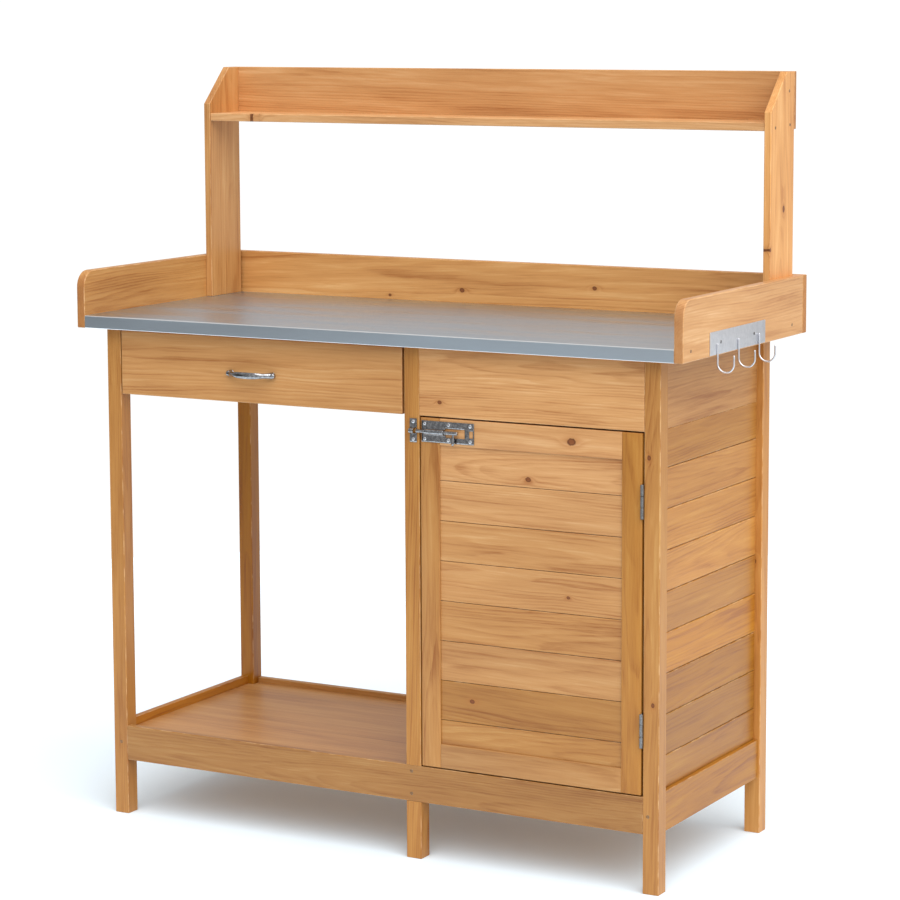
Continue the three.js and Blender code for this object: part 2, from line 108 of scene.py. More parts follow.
stain = {
    "pale": shade(238, 189, 129),        # the lightest early wood under the honey stain
    "light": shade(214, 154, 91),
    "dark": shade(159, 88, 31),          # late wood lines
    "knot": shade(118, 60, 24),
    "knotRim": shade(84, 40, 14),
    "endGrain": shade(158, 98, 50),
    "ringWidth": 3.6 * mm,
    "ringDepth": 0.2,                    # how far a ring goes from light to dark
    "fibreDepth": 0.3,
    "bandDepth": 0.35,
    "blotchDepth": 0.27,
    "hairDepth": 0.11,
    "strength": 0.955,                   # multiplies every board's tone, itself partly stain and partly painted shade
    "endGrainMix": 0.55,
    "haloMix": 0.5,
    "knotMix": 0.86,
    "rimMix": 0.75,
    "scuff": shade(238, 202, 156),       # on rubbed arrises
    "scuffMix": 0.4,
    "bump": 0.35,
    "bumpHeight": 0.0006,
    "coat": 0.08,
    "coatRough": 0.22,
}
# lumps per metre along the grain and across it
firPattern = {
    "wander": (1.3, 10, 10), "ripple": (7, 60, 60), "fibre": (9, 330, 330), "hair": (36, 1500, 1500),
    "band": (3.2, 62, 62), "blotch": (2.6, 15, 15), "scuffs": (40, 90, 90), "ragged": (260, 260, 260),
}


def makeFirFigure():
    # The figure of sawn fir in board coordinates: X runs along the grain and the pith is the line Y = Z = 0.
    # Ring count = distance from a wandering pith / ring width; late wood is the dark end of each ring.
    group = bpy.data.node_groups.new("firFigure", "ShaderNodeTree")
    sockets = group.interface
    for name, kind, value in [
        ("Place", "NodeSocketVector", (0, 0, 0)), ("Ring width", "NodeSocketFloat", stain["ringWidth"]),
        ("Bend", "NodeSocketFloat", 0.0), ("Pale", "NodeSocketColor", stain["pale"]),
        ("Light", "NodeSocketColor", stain["light"]),
        ("Dark", "NodeSocketColor", stain["dark"]), ("Ring depth", "NodeSocketFloat", stain["ringDepth"]),
        ("Tone", "NodeSocketFloat", 1.0),
    ]:
        socket = sockets.new_socket(name, in_out="INPUT", socket_type=kind)
        socket.default_value = value
    for name, kind in [("Colour", "NodeSocketColor"), ("Roughness", "NodeSocketFloat"),
                       ("Height", "NodeSocketFloat")]:
        sockets.new_socket(name, in_out="OUTPUT", socket_type=kind)
    given = put(group, "NodeGroupInput").outputs
    place = given["Place"]

    moved = place
    for name, roughness, size in [("wander", 0.45, 0.034), ("ripple", 0.5, 0.0045)]:
        shift = cloudy(group, place, firPattern[name], 2, roughness, colour=True)
        shift = vectorSum(group, "SUBTRACT", shift, (0.5, 0.5, 0.5))
        moved = vectorSum(group, "ADD", moved, stretched(group, shift, (0, size, size)))
    across = stretched(group, moved, (0, 1, 1))
    distance = put(group, "ShaderNodeVectorMath", {0: across}, operation="LENGTH").outputs["Value"]
    count = sums(group, "DIVIDE", distance, given["Ring width"])
    count = sums(group, "ADD", count, given["Bend"])
    phase = sums(group, "FRACT", count)
    late = sums(group, "MULTIPLY", eased(group, phase, 0.15, 0.86), eased(group, phase, 0.88, 1.0, 1.0, 0.0))
    wave = put(group, "ShaderNodeTexNoise", {"W": count, "Scale": 0.83, "Detail": 1.0}, noise_dimensions="1D")
    varied = eased(group, wave.outputs["Fac"], 0.3, 0.7, 0.25, 1.0)
    rings = sums(group, "MULTIPLY", late, varied)

    fibre = cloudy(group, moved, firPattern["fibre"], 5, 0.62)
    hair = cloudy(group, moved, firPattern["hair"], 3, 0.6)
    band = cloudy(group, moved, firPattern["band"], 3, 0.55)
    blotch = cloudy(group, place, firPattern["blotch"], 3, 0.55)
    figure = sums(group, "MULTIPLY", rings, given["Ring depth"])
    for cloud, middle, depth in [(fibre, 0.42, "fibreDepth"), (hair, 0.5, "hairDepth"),
                                 (blotch, 0.5, "blotchDepth"), (band, 0.5, "bandDepth")]:
        figure = sums(group, "MULTIPLY_ADD", sums(group, "SUBTRACT", cloud, middle), stain[depth] * 2, figure)
    figure = sums(group, "ADD", figure, 0.42, clamp=True)
    colour = blended(group, eased(group, figure, 0.0, 0.5), given["Pale"], given["Light"])
    colour = blended(group, eased(group, figure, 0.42, 1.05), colour, given["Dark"])
    bright = sums(group, "MULTIPLY", given["Tone"], eased(group, blotch, 0.25, 0.75, 1.04, 0.96))
    grey = put(group, "ShaderNodeCombineColor", {0: bright, 1: bright, 2: bright}).outputs[0]
    colour = blended(group, 1.0, colour, grey, "MULTIPLY")
    rough = sums(group, "MULTIPLY_ADD", figure, -0.10, 0.47)
    height = sums(group, "MULTIPLY_ADD", fibre, 0.7, sums(group, "MULTIPLY", rings, 0.5))
    height = sums(group, "MULTIPLY_ADD", hair, 0.3, height)
    put(group, "NodeGroupOutput", {"Colour": colour, "Roughness": rough, "Height": height})
    return group


def makeFirKnot():
    # A branch cut across: rings bulge round it, its core is dark with a darker rim.
    group = bpy.data.node_groups.new("firKnot", "ShaderNodeTree")
    sockets = group.interface
    for name, kind in [("Place", "NodeSocketVector"), ("Centre", "NodeSocketVector"),
                       ("Across", "NodeSocketVector"), ("Radius", "NodeSocketFloat")]:
        sockets.new_socket(name, in_out="INPUT", socket_type=kind)
    for name in ("Bend", "Core", "Rim", "Halo"):
        sockets.new_socket(name, in_out="OUTPUT", socket_type="NodeSocketFloat")
    given = put(group, "NodeGroupInput").outputs
    away = vectorSum(group, "SUBTRACT", given["Place"], given["Centre"])
    ragged = cloudy(group, away, firPattern["ragged"], 2, 0.5)
    along = put(group, "ShaderNodeSeparateXYZ", {0: away}).outputs[0]
    side = put(group, "ShaderNodeVectorMath", {0: away, 1: given["Across"]}, operation="DOT_PRODUCT")

    def reach(longer, wider):
        a = sums(group, "DIVIDE", sums(group, "DIVIDE", along, given["Radius"]), longer)
        b = sums(group, "DIVIDE", sums(group, "DIVIDE", side.outputs["Value"], given["Radius"]), wider)
        squares = sums(group, "ADD", sums(group, "MULTIPLY", a, a), sums(group, "MULTIPLY", b, b))
        return sums(group, "SQRT", squares)

    near = sums(group, "ADD", reach(1.25, 1.0), sums(group, "MULTIPLY_ADD", ragged, 0.7, -0.35))
    core = eased(group, near, 0.8, 1.2, 1.0, 0.0)
    rim = sums(group, "MULTIPLY", eased(group, near, 0.6, 0.95), eased(group, near, 1.0, 1.35, 1.0, 0.0))
    wide = reach(3.4, 1.7)
    halo = sums(group, "EXPONENT", sums(group, "MULTIPLY", sums(group, "MULTIPLY", wide, wide), -1.0))
    bend = sums(group, "MULTIPLY", halo, 1.6)
    put(group, "NodeGroupOutput", {"Bend": bend, "Core": core, "Rim": rim, "Halo": halo})
    return group


firFigure = makeFirFigure()
firKnot = makeFirKnot()
grainTurns = {"X": (0.0, 0.0, 0.0), "Y": (0.0, 0.0, -math.pi / 2), "Z": (0.0, math.pi / 2, 0.0)}
seedMaker = np.random.default_rng(7)


def stainedFir(name, low, high, grain, tone=1.0, knots=(), warm=0.0):
    # Wood for one board: the mapping turns its own length onto X and sets the pith beside or below it.
    # Knots are (share of the length, share of the width, radius in mm).
    low, high = np.array(low), np.array(high)
    size = high - low
    centre = (low + high) / 2
    lengthways = axisOf[grain]
    rest = [k for k in range(3) if k != lengthways]
    width, thick = sorted(rest, key=lambda k: -size[k])
    lean = seedMaker.uniform(-1, 1, 2) * 0.028
    turn = Euler((grainTurns[grain][0], grainTurns[grain][1] + lean[0], grainTurns[grain][2] + lean[1]))
    matrix = np.array(turn.to_matrix())
    draw = seedMaker.uniform(0, 1, 4)
    pith = (0.7 * (draw[0] - 0.5) * size[width], (0.022 + 0.05 * draw[1]) * (1 if draw[2] < 0.5 else -1))
    offset = matrix @ (allAxes[width] * pith[0] + allAxes[thick] * pith[1])
    seed = np.array([5.0 + 9.0 * draw[3], 0, 0])
    location = seed + offset - matrix @ centre

    material = bpy.data.materials.new(name)
    material.use_nodes = True
    tree = material.node_tree
    shader = tree.nodes["Principled BSDF"]
    spots = put(tree, "ShaderNodeTexCoord").outputs
    place = put(tree, "ShaderNodeMapping", {"Vector": spots["Object"], "Location": location.tolist(),
                                            "Rotation": tuple(turn)}).outputs[0]
    bend, knotNodes = 0.0, []
    for share, side, radius in knots:
        at = low + size * 0.5
        at[lengthways] = low[lengthways] + share * size[lengthways]
        at[width] = low[width] + side * size[width]
        node = put(tree, "ShaderNodeGroup", {}, node_tree=firKnot)
        tree.links.new(place, node.inputs["Place"])
        node.inputs["Centre"].default_value = (matrix @ at + location).tolist()
        node.inputs["Across"].default_value = (matrix @ allAxes[width]).tolist()
        node.inputs["Radius"].default_value = radius * mm
        knotNodes.append(node.outputs)
        bend = sums(tree, "ADD", node.outputs["Bend"], bend)
    tint = (1 + 0.5 * warm, 1, 1 - 1.6 * warm, 1)
    figure = put(tree, "ShaderNodeGroup", {}, node_tree=firFigure)
    tree.links.new(place, figure.inputs["Place"])
    figure.inputs["Ring width"].default_value = stain["ringWidth"] * (0.75 + 0.5 * draw[2])
    figure.inputs["Ring depth"].default_value = stain["ringDepth"]
    for name in ("Pale", "Light", "Dark"):
        figure.inputs[name].default_value = np.clip(np.array(stain[name.lower()]) * tint, 0, 1).tolist()
    # Tone is partly the board's stain and partly painted light and shade: boards low on the bench and in the
    # bay get lower tones, the high ones higher.
    figure.inputs["Tone"].default_value = tone * stain["strength"]
    if knotNodes:
        tree.links.new(bend, figure.inputs["Bend"])
    colour = figure.outputs["Colour"]
    for knot in knotNodes:
        colour = blended(tree, sums(tree, "MULTIPLY", knot["Halo"], stain["haloMix"]), colour, stain["dark"])
        colour = blended(tree, sums(tree, "MULTIPLY", knot["Core"], stain["knotMix"]), colour, stain["knot"])
        colour = blended(tree, sums(tree, "MULTIPLY", knot["Rim"], stain["rimMix"]), colour, stain["knotRim"])
    facing = put(tree, "ShaderNodeVectorMath", {0: spots["Normal"], 1: allAxes[lengthways].tolist()},
                 operation="DOT_PRODUCT").outputs["Value"]
    endFace = eased(tree, sums(tree, "ABSOLUTE", facing), 0.6, 0.9)
    colour = blended(tree, sums(tree, "MULTIPLY", endFace, stain["endGrainMix"]), colour, stain["endGrain"])
    wearAndSheen = put(tree, "ShaderNodeAttribute", attribute_name="arris").outputs["Fac"]
    scuffs = eased(tree, cloudy(tree, place, firPattern["scuffs"], 3, 0.6), 0.42, 0.66)
    wearAndSheen = sums(tree, "MULTIPLY", wearAndSheen, sums(tree, "MULTIPLY", scuffs, stain["scuffMix"]))
    colour = blended(tree, wearAndSheen, colour, stain["scuff"])
    tree.links.new(colour, shader.inputs["Base Color"])
    rough = sums(tree, "MULTIPLY_ADD", endFace, 0.22, figure.outputs["Roughness"])
    tree.links.new(rough, shader.inputs["Roughness"])
    bump = put(tree, "ShaderNodeBump", {"Height": figure.outputs["Height"], "Strength": stain["bump"],
                                        "Distance": stain["bumpHeight"]})
    tree.links.new(bump.outputs[0], shader.inputs["Normal"])
    shader.inputs["Specular IOR Level"].default_value = 0.35
    shader.inputs["Coat Weight"].default_value = stain["coat"]
    shader.inputs["Coat Roughness"].default_value = stain["coatRough"]
    return material


def ringFaces(rings, around, start=0):
    # quads between each ring of points and the next, all the way round, and a cap on each end
    row = np.arange(rings - 1)[:, None] * around + start
    step = np.arange(around)[None, :]
    after = (step + 1) % around
    quads = np.stack([row + step, row + after, row + around + after, row + around + step], -1).reshape(-1, 4)
    first = (start + np.arange(around)[::-1]).tolist()
    last = (start + (rings - 1) * around + np.arange(around)).tolist()
    return quads.tolist() + [first, last]


def cornerRounds(corners, radii, insets, steps):
    # Rings of outline points. Each corner of each ring becomes an arc: the corner drawn in by the ring's
    # inset, then centre + radius * (cos, sin) from one edge's outward direction to the next one's.
    corners = np.array(corners, float)
    radii = np.broadcast_to(np.array(radii, float), len(corners))
    into = corners - np.roll(corners, 1, 0)
    into /= np.linalg.norm(into, axis=1, keepdims=True)
    out = np.roll(into, -1, 0)
    normalIn = np.stack([into[:, 1], -into[:, 0]], -1)
    normalOut = np.stack([out[:, 1], -out[:, 0]], -1)
    swing = np.arctan2(into[:, 0] * out[:, 1] - into[:, 1] * out[:, 0], (into * out).sum(1))
    way = np.sign(swing)
    mitre = (normalIn + normalOut) / (1 + (normalIn * normalOut).sum(1))[:, None]
    insets = np.array(insets, float)[:, None]
    shrunk = np.maximum(radii[None] - way[None] * insets, 0.02)
    centre = corners[None] - (insets + way[None] * shrunk)[..., None] * mitre[None]
    begin = np.arctan2(normalIn[:, 1], normalIn[:, 0])
    angle = begin[:, None] + swing[:, None] * np.linspace(0, 1, steps)[None]
    normals = np.stack([np.cos(angle), np.sin(angle)], -1)
    points = centre[:, :, None] + (way[None] * shrunk)[..., None, None] * normals[None]
    normals = np.broadcast_to(normals[None], points.shape)
    curved = np.abs(np.sin(np.linspace(0, np.pi, steps)))[None] * np.ones((len(corners), 1))
    return points.reshape(len(insets), -1, 2), normals.reshape(len(insets), -1, 2), curved.reshape(-1)


def outlineSolid(corners, radii, axis, start, end, arris=1.0, steps=5, endSteps=4):
    # An outline carried along an axis; at each end it is drawn in along a quarter circle of radius arris.
    # corners are in the plane of the two next axes in turn: YZ for X, ZX for Y, XY for Z. Millimetres.
    turn = np.linspace(0, np.pi / 2, endSteps)
    stations = np.concatenate([start + arris * (1 - np.cos(turn)), (end - arris * (1 - np.cos(turn)))[::-1]])
    insets = np.concatenate([arris * (1 - np.sin(turn)), (arris * (1 - np.sin(turn)))[::-1]])
    share = np.concatenate([np.sin(turn), np.sin(turn)[::-1]])
    forward = np.concatenate([-np.cos(turn), np.cos(turn)[::-1]])
    flat, normals, curved = cornerRounds(corners, radii, insets, steps)
    a = axisOf[axis]
    b, c = (a + 1) % 3, (a + 2) % 3
    points = np.zeros((*flat.shape[:2], 3))
    points[..., a] = stations[:, None]
    points[..., b], points[..., c] = flat[..., 0], flat[..., 1]
    facing = np.zeros_like(points)
    facing[..., a] = forward[:, None]
    facing[..., b], facing[..., c] = normals[..., 0] * share[:, None], normals[..., 1] * share[:, None]
    small = np.repeat(np.where(np.broadcast_to(radii, len(corners)) < 5, 1.0, 0.0), steps)
    wearAndSheen = np.maximum((curved * small)[None], (np.abs(forward) * share * 2)[:, None])
    wearAndSheen[[0, -1]] = 0
    return points.reshape(-1, 3), facing.reshape(-1, 3), wearAndSheen.reshape(-1), ringFaces(*flat.shape[:2])


def tubeSolid(path, wide, tall, up, around=16, dome=4):
    # An oval carried along a path: half width `wide` across the path and half height `tall` along `up`,
    # one of each for each path point. Both ends close over a quarter-ellipse dome.
    path, wide, tall = np.array(path, float), np.array(wide, float), np.array(tall, float)
    tangent = np.gradient(path, axis=0)
    tangent /= np.linalg.norm(tangent, axis=1, keepdims=True)
    turn = np.linspace(0.06, np.pi / 2, dome, endpoint=False)
    reach = np.minimum(wide[[0, -1]], tall[[0, -1]])
    before = path[0] - tangent[0] * reach[0] * np.cos(turn)[:, None]
    after = (path[-1] + tangent[-1] * reach[1] * np.cos(turn)[:, None])[::-1]
    path = np.concatenate([before, path, after])
    tangent = np.concatenate([np.repeat(tangent[:1], dome, 0), tangent, np.repeat(tangent[-1:], dome, 0)])
    wide = np.concatenate([wide[0] * np.sin(turn), wide, (wide[-1] * np.sin(turn))[::-1]])
    tall = np.concatenate([tall[0] * np.sin(turn), tall, (tall[-1] * np.sin(turn))[::-1]])
    up = np.array(up, float)
    sideways = np.cross(tangent, up)
    sideways /= np.linalg.norm(sideways, axis=1, keepdims=True)
    rise = np.cross(sideways, tangent)
    angle = np.linspace(0, 2 * np.pi, around, endpoint=False)
    points = (path[:, None] + sideways[:, None] * (wide[:, None] * np.cos(angle)[None])[..., None]
              + rise[:, None] * (tall[:, None] * np.sin(angle)[None])[..., None])
    quads = ringFaces(len(path), around)
    flipped = [face[::-1] for face in quads]
    return points.reshape(-1, 3), None, None, flipped


def turnedSolid(profile, origin, direction, around=24):
    # A profile of (radius, height) turned about an axis through origin.
    profile = np.array(profile, float)
    w = np.array(direction, float)
    w /= np.linalg.norm(w)
    u = np.cross(w, allAxes[int(np.argmin(np.abs(w)))])
    u /= np.linalg.norm(u)
    v = np.cross(w, u)
    angle = np.linspace(0, 2 * np.pi, around, endpoint=False)
    circle = np.cos(angle)[:, None] * u + np.sin(angle)[:, None] * v
    points = np.array(origin, float) + profile[:, None, :1] * circle[None] + profile[:, None, 1:] * w
    return points.reshape(-1, 3), None, None, ringFaces(len(profile), around)


def makePiece(name, body, material, shells, node=None, smoothAngle=32):
    # One object from one or more closed shells, in millimetres of the row frame; it stands for a CAD node.
    points, faces, facing, wearAndSheen, start = [], [], [], [], 0
    for p, n, w, f in shells:
        points.append(p)
        faces += [[i + start for i in face] for face in f]
        facing.append(np.zeros_like(p) if n is None else n)
        wearAndSheen.append(np.zeros(len(p)) if w is None else w)
        start += len(p)
    points = np.concatenate(points) * mm
    mesh = bpy.data.meshes.new(name)
    mesh.from_pydata(points.tolist(), [], faces)
    mesh.polygons.foreach_set("use_smooth", np.ones(len(mesh.polygons), bool))
    mesh.materials.append(material)
    attribute = mesh.attributes.new("arris", "FLOAT", "POINT")
    attribute.data.foreach_set("value", np.concatenate(wearAndSheen).astype(np.float32))
    mesh.update()
    if all(n is not None for _, n, _, _ in shells):
        mesh.normals_split_custom_set_from_vertices(np.concatenate(facing).tolist())
    else:
        mesh.set_sharp_from_angle(angle=math.radians(smoothAngle))
    piece = bpy.data.objects.new(name, mesh)
    bpy.context.scene.collection.objects.link(piece)
    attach(piece, body)
    if node:
        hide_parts(node)
    return piece


def boxOf(node):
    low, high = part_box(node)
    return np.array(low) / mm, np.array(high) / mm


def plainName(node):
    first, *others = node.split("_")
    return first + "".join(word.capitalize() for word in others)


def rectangle(low, high, axis):
    a = axisOf[axis]
    b, c = (a + 1) % 3, (a + 2) % 3
    return [(low[b], low[c]), (high[b], low[c]), (high[b], high[c]), (low[b], high[c])]


def firBoard(node, body, grain, arris=1.2, trim=(0, 0, 0), **look):
    # A plain sawn board in the place of a CAD node, with its arrises eased.
    low, high = boxOf(node)
    low, high = low + np.array(trim), high - np.array(trim)
    along = axisOf[grain]
    solid = outlineSolid(rectangle(low, high, grain), arris, grain, low[along], high[along], arris * endShare)
    name = plainName(node)
    material = stainedFir(name + "Fir", low * mm, high * mm, grain, **look)
    return makePiece(name, body, material, [solid], node)


def profiledBoard(node, corners, radii, axis, grain, arris, rounding=None, **look):
    # A board of the bench in the place of a CAD node: its outline carried along one axis of the node's box.
    low, high = boxOf(node)
    along = axisOf[axis]
    solid = outlineSolid(corners, radii, axis, low[along], high[along], arris, **(rounding or {}))
    name = plainName(node)
    material = stainedFir(name + "Fir", low * mm, high * mm, grain, **look)
    return makePiece(name, "bench", material, [solid], node)


# Leg tones are partly stain, partly painted shade as the light falls off towards the floor; leg_back_left,
# inside the bay, is set darkest and warmest as painted shade.
legs = {
    "arris": 1.6, "notchArris": 0.3, "warm": 0.16, "middleWarm": 0.22, "backWarm": 0.56,
    "tone": {"leg_front_left": 0.66, "leg_front_right": 0.67, "leg_back_left": 0.46, "leg_back_right": 0.8},
    "middleTone": {"leg_front_middle": 0.63, "leg_back_middle": 0.7},
    "knots": {"leg_front_right": [(0.82, 0.3, 2.8), (0.36, 0.6, 2.6)], "leg_back_right": [(0.55, 0.5, 3.4)]},
    "middleKnots": {"leg_front_middle": [(0.924, 0.84, 3.6), (0.70, 0.45, 3.0), (0.50, 0.4, 3.2)]},
}


def makeCornerLegs():
    for node, tone in legs["tone"].items():
        warm = legs["backWarm"] if node == "leg_back_left" else legs["warm"]
        firBoard(node, "bench", "Z", legs["arris"], tone=tone, knots=legs["knots"].get(node, ()), warm=warm)


def makeMiddleLeg(node, tone):
    # The outline is the leg's side, in YZ, with the notch that lets the long rail through.
    low, high = boxOf(node)
    atFront = node == "leg_front_middle"
    railLow, railHigh = boxOf("rail_front" if atFront else "rail_back")
    foot, head = railLow[2], railHigh[2]
    if atFront:
        inner = railHigh[1]
        corners = [(low[1], low[2]), (high[1], low[2]), (high[1], high[2]), (low[1], high[2]),
                   (low[1], head), (inner, head), (inner, foot), (low[1], foot)]
    else:
        inner = railLow[1]
        corners = [(low[1], low[2]), (high[1], low[2]), (high[1], foot), (inner, foot), (inner, head),
                   (high[1], head), (high[1], high[2]), (low[1], high[2])]
    radii = [legs["arris"] if abs(y - inner) > 0.1 and z not in (foot, head) else legs["notchArris"]
             for y, z in corners]
    profiledBoard(node, corners, radii, "X", "Z", legs["arris"] * endShare,
                  tone=tone, warm=legs["middleWarm"], knots=legs["middleKnots"].get(node, ()))


# Rail tones are set low: partly stain, partly painted shade near the floor.
rails = {
    "arris": 1.2, "warm": 0.1, "sideWarm": 0.47,
    "tone": {"rail_front": 0.53, "rail_back": 0.64},
    "sideTone": {"rail_left": 0.6, "rail_right": 0.5},
}


def makeRails():
    for node, tone in rails["tone"].items():
        firBoard(node, "bench", "X", rails["arris"], tone=tone, warm=rails["warm"])
    for node, tone in rails["sideTone"].items():
        firBoard(node, "bench", "Y", rails["arris"], tone=tone, warm=rails["sideWarm"])


# curb_left's tone is lower than curb_right's: partly stain, partly painted shade on its inner face.
curbs = {
    "arris": 1.8, "hiddenArris": 0.4, "cornerRadius": 28.0, "cornerSteps": 9,
    "tone": {"curb_left": 0.75, "curb_right": 1.05},
    "warm": {"curb_left": 0.08, "curb_right": -0.12},
    "back": {"arris": 1.5, "tone": 0.96, "warm": 0.03,
             "knots": [(0.43, 0.45, 3.4), (0.66, 0.6, 3.0), (0.3, 0.3, 2.0)]},
}


def makeCurbs():
    # The side curbs have a round upper corner at the front.
    for node, tone in curbs["tone"].items():
        low, high = boxOf(node)
        radii = [curbs["arris"], curbs["hiddenArris"], curbs["hiddenArris"], curbs["cornerRadius"]]
        profiledBoard(node, rectangle(low, high, "X"), radii, "X", "Y", curbs["arris"],
                      {"steps": curbs["cornerSteps"]}, tone=tone, warm=curbs["warm"][node])
    firBoard("curb_back", "bench", "X", **curbs["back"])


# upright_left's tone is lower than upright_right's: partly stain, partly painted shade on its inner face.
uprights = {
    "arris": 1.2, "slantBottom": 1229.0, "slantBack": 193.5,    # where the slanted top begins and ends
    "tone": {"upright_left": 0.86, "upright_right": 1.17},
    "knots": {"upright_right": [(0.455, 0.57, 3.8), (0.30, 0.02, 2.2)]},
}


def makeUprights():
    for node, tone in uprights["tone"].items():
        low, high = boxOf(node)
        corners = [(low[1], low[2]), (high[1], low[2]), (high[1], high[2]),
                   (uprights["slantBack"], high[2]), (low[1], uprights["slantBottom"])]
        profiledBoard(node, corners, uprights["arris"], "X", "Z", uprights["arris"],
                      tone=tone, knots=uprights["knots"].get(node, ()))


shelfBoards = {
    "top_shelf": {"arris": 1.4, "tone": 1.16, "warm": -0.18,
                  "knots": [(0.082, 0.02, 2.6), (0.097, 0.03, 2.2)]},
    "top_shelf_back": {"arris": 1.2, "tone": 0.99, "warm": -0.1},
    "tabletop_board": {"arris": 0.8, "tone": 0.9},
}


def makeShelfBoards():
    for node, look in shelfBoards.items():
        firBoard(node, "bench", "X", **look)


boards = {
    "joint": 0.7, "tongue": 3.0, "tongueThick": 3.0, "tonguePlay": 0.2, "grooveExtra": 0.5,
    "firstJoint": 217.0, "pitch": 66.25,
    "veeArris": 2.0, "plainArris": 0.5, "tongueArris": 0.2, "endArris": 0.2,
}


def boardOutline(left, right, bottom, top, vees, grooved, tongued):
    # One board's section across the panel: a groove below and a tongue on top, where it has a neighbour.
    middle, half = (left + right) / 2, boards["tongueThick"] / 2
    corners = [(left, bottom), (right, bottom), (right, top), (left, top)]
    radii = [boards["veeArris"] if side in vees else boards["plainArris"] for side in (-1, 1, 1, -1)]
    if grooved:
        deep = bottom + boards["tongue"] + boards["grooveExtra"]
        corners[1:1] = [(middle - half, bottom), (middle - half, deep),
                        (middle + half, deep), (middle + half, bottom)]
        radii[1:1] = [boards["tongueArris"]] * 4
    if tongued:
        slim, crest = half - boards["tonguePlay"], top + boards["tongue"]
        corners[-1:-1] = [(middle + slim, top), (middle + slim, crest),
                          (middle - slim, crest), (middle - slim, top)]
        radii[-1:-1] = [boards["tongueArris"]] * 4
    return corners, radii


def tonguedBoards(node, thick, grain, vees, tones, warm=(0.0,)):
    # Boards stacked up a panel, with eased arrises that make the V between them.
    # thick is the axis through the panel; vees says which faces carry the V: -1, 1 or both.
    low, high = boxOf(node)
    joints = np.arange(boards["firstJoint"], high[2] - boards["pitch"] / 4, boards["pitch"])
    joints = joints[joints > low[2] + 1]
    edges = np.concatenate([[low[2]], joints, [high[2]]])
    through, along = axisOf[thick], axisOf[grain]
    last = len(edges) - 2
    for i in range(last + 1):
        bottom = edges[i] + (boards["joint"] / 2 if i else 0)
        top = edges[i + 1] - (boards["joint"] / 2 if i < last else 0)
        corners, radii = boardOutline(low[through], high[through], bottom, top, vees, i > 0, i < last)
        if grain == "Y":
            # the outline's plane is ZX: swap the pairs and turn the outline the other way round
            corners, radii = [(z, x) for x, z in corners][::-1], radii[::-1]
        solid = outlineSolid(corners, radii, grain, low[along], high[along], boards["endArris"],
                             steps=4, endSteps=2)
        boardLow, boardHigh = low.copy(), high.copy()
        boardLow[2], boardHigh[2] = bottom, top
        name = plainName(node) + "Board" + str(i + 1)
        material = stainedFir(name + "Fir", boardLow * mm, boardHigh * mm, grain,
                              tone=tones[i % len(tones)], warm=warm[i % len(warm)])
        makePiece(name, "bench", material, [solid], node)


panels = {
    # siding_right's tones and warmth are partly the boards' stain and partly painted shade: the lower boards
    # are set darker.
    "siding_right": {"thick": "X", "grain": "Y", "vees": (1,),
                     "tones": (0.48, 0.44, 0.47, 0.63, 0.585, 0.745, 0.73, 0.72, 0.6),
                     "warm": (0.38, 0.42, 0.48, 0.44, 0.28, 0.22, 0.22, 0.18, 0.24)},
    "partition": {"thick": "X", "grain": "Y", "vees": (-1,), "tones": (0.88, 0.92, 0.86, 0.9)},
    "back_panel": {"thick": "Y", "grain": "X", "vees": (1,), "tones": (0.95, 0.92, 0.97, 0.9, 0.94)},
}
plainBoards = {
    "apron_right": {"grain": "Y", "arris": 0.9, "tone": 0.79},
    "apron_left": {"grain": "Y", "arris": 0.9, "tone": 0.95},
    "apron_back": {"grain": "X", "arris": 0.9, "tone": 0.92},
    "runner_left": {"grain": "Y", "arris": 0.9, "tone": 0.9},
    "runner_right": {"grain": "Y", "arris": 0.9, "tone": 0.9},
    "panel_front": {"grain": "X", "arris": 1.4, "tone": 1.02, "warm": -0.1, "knots": [(0.094, 0.21, 2.6)]},
}


def makePanels():
    for node, make in panels.items():
        tonguedBoards(node, **make)
    for node, make in plainBoards.items():
        firBoard(node, "bench", **make)


floors = {"gap": 0.25, "arris": 0.3, "tone": 0.74}


def makeFloor(node):
    # A floor board whose outline, in XY, steps round the legs that stand in its corners.
    low, high = boxOf(node)
    gap = floors["gap"]
    legBoxes = [boxOf(leg) for leg in ("leg_front_left", "leg_front_middle", "leg_front_right")]
    spans = [(legLow[0] - gap, legHigh[0] + gap) for legLow, legHigh in legBoxes]
    spans = [(start, end) for start, end in spans if end > low[0] and start < high[0]]
    left = [end for start, end in spans if start <= low[0]]
    right = [start for start, end in spans if end >= high[0]]
    startX, endX = (left or [low[0]])[0], (right or [high[0]])[0]
    frontY, backY = legBoxes[0][1][1] + gap, boxOf("leg_back_left")[0][1] - gap
    corners = [(startX, low[1]), (endX, low[1])]
    if right:
        corners += [(endX, frontY), (high[0], frontY), (high[0], backY), (endX, backY)]
    corners += [(endX, high[1]), (startX, high[1])]
    if left:
        corners += [(startX, backY), (low[0], backY), (low[0], frontY), (startX, frontY)]
    profiledBoard(node, corners, floors["arris"], "Z", "X", floors["arris"],
                  {"steps": 3, "endSteps": 2}, tone=floors["tone"])


drawerBoards = {
    "drawer_front": {"grain": "X", "arris": 1.4, "tone": 0.84, "warm": -0.03},
    "drawer_side_left": {"grain": "Y", "arris": 0.8, "tone": 1.0},
    "drawer_side_right": {"grain": "Y", "arris": 0.8, "tone": 1.0},
    "drawer_back": {"grain": "X", "arris": 0.8, "tone": 1.0},
    "drawer_bottom": {"grain": "X", "arris": 0.8, "tone": 1.0},
}
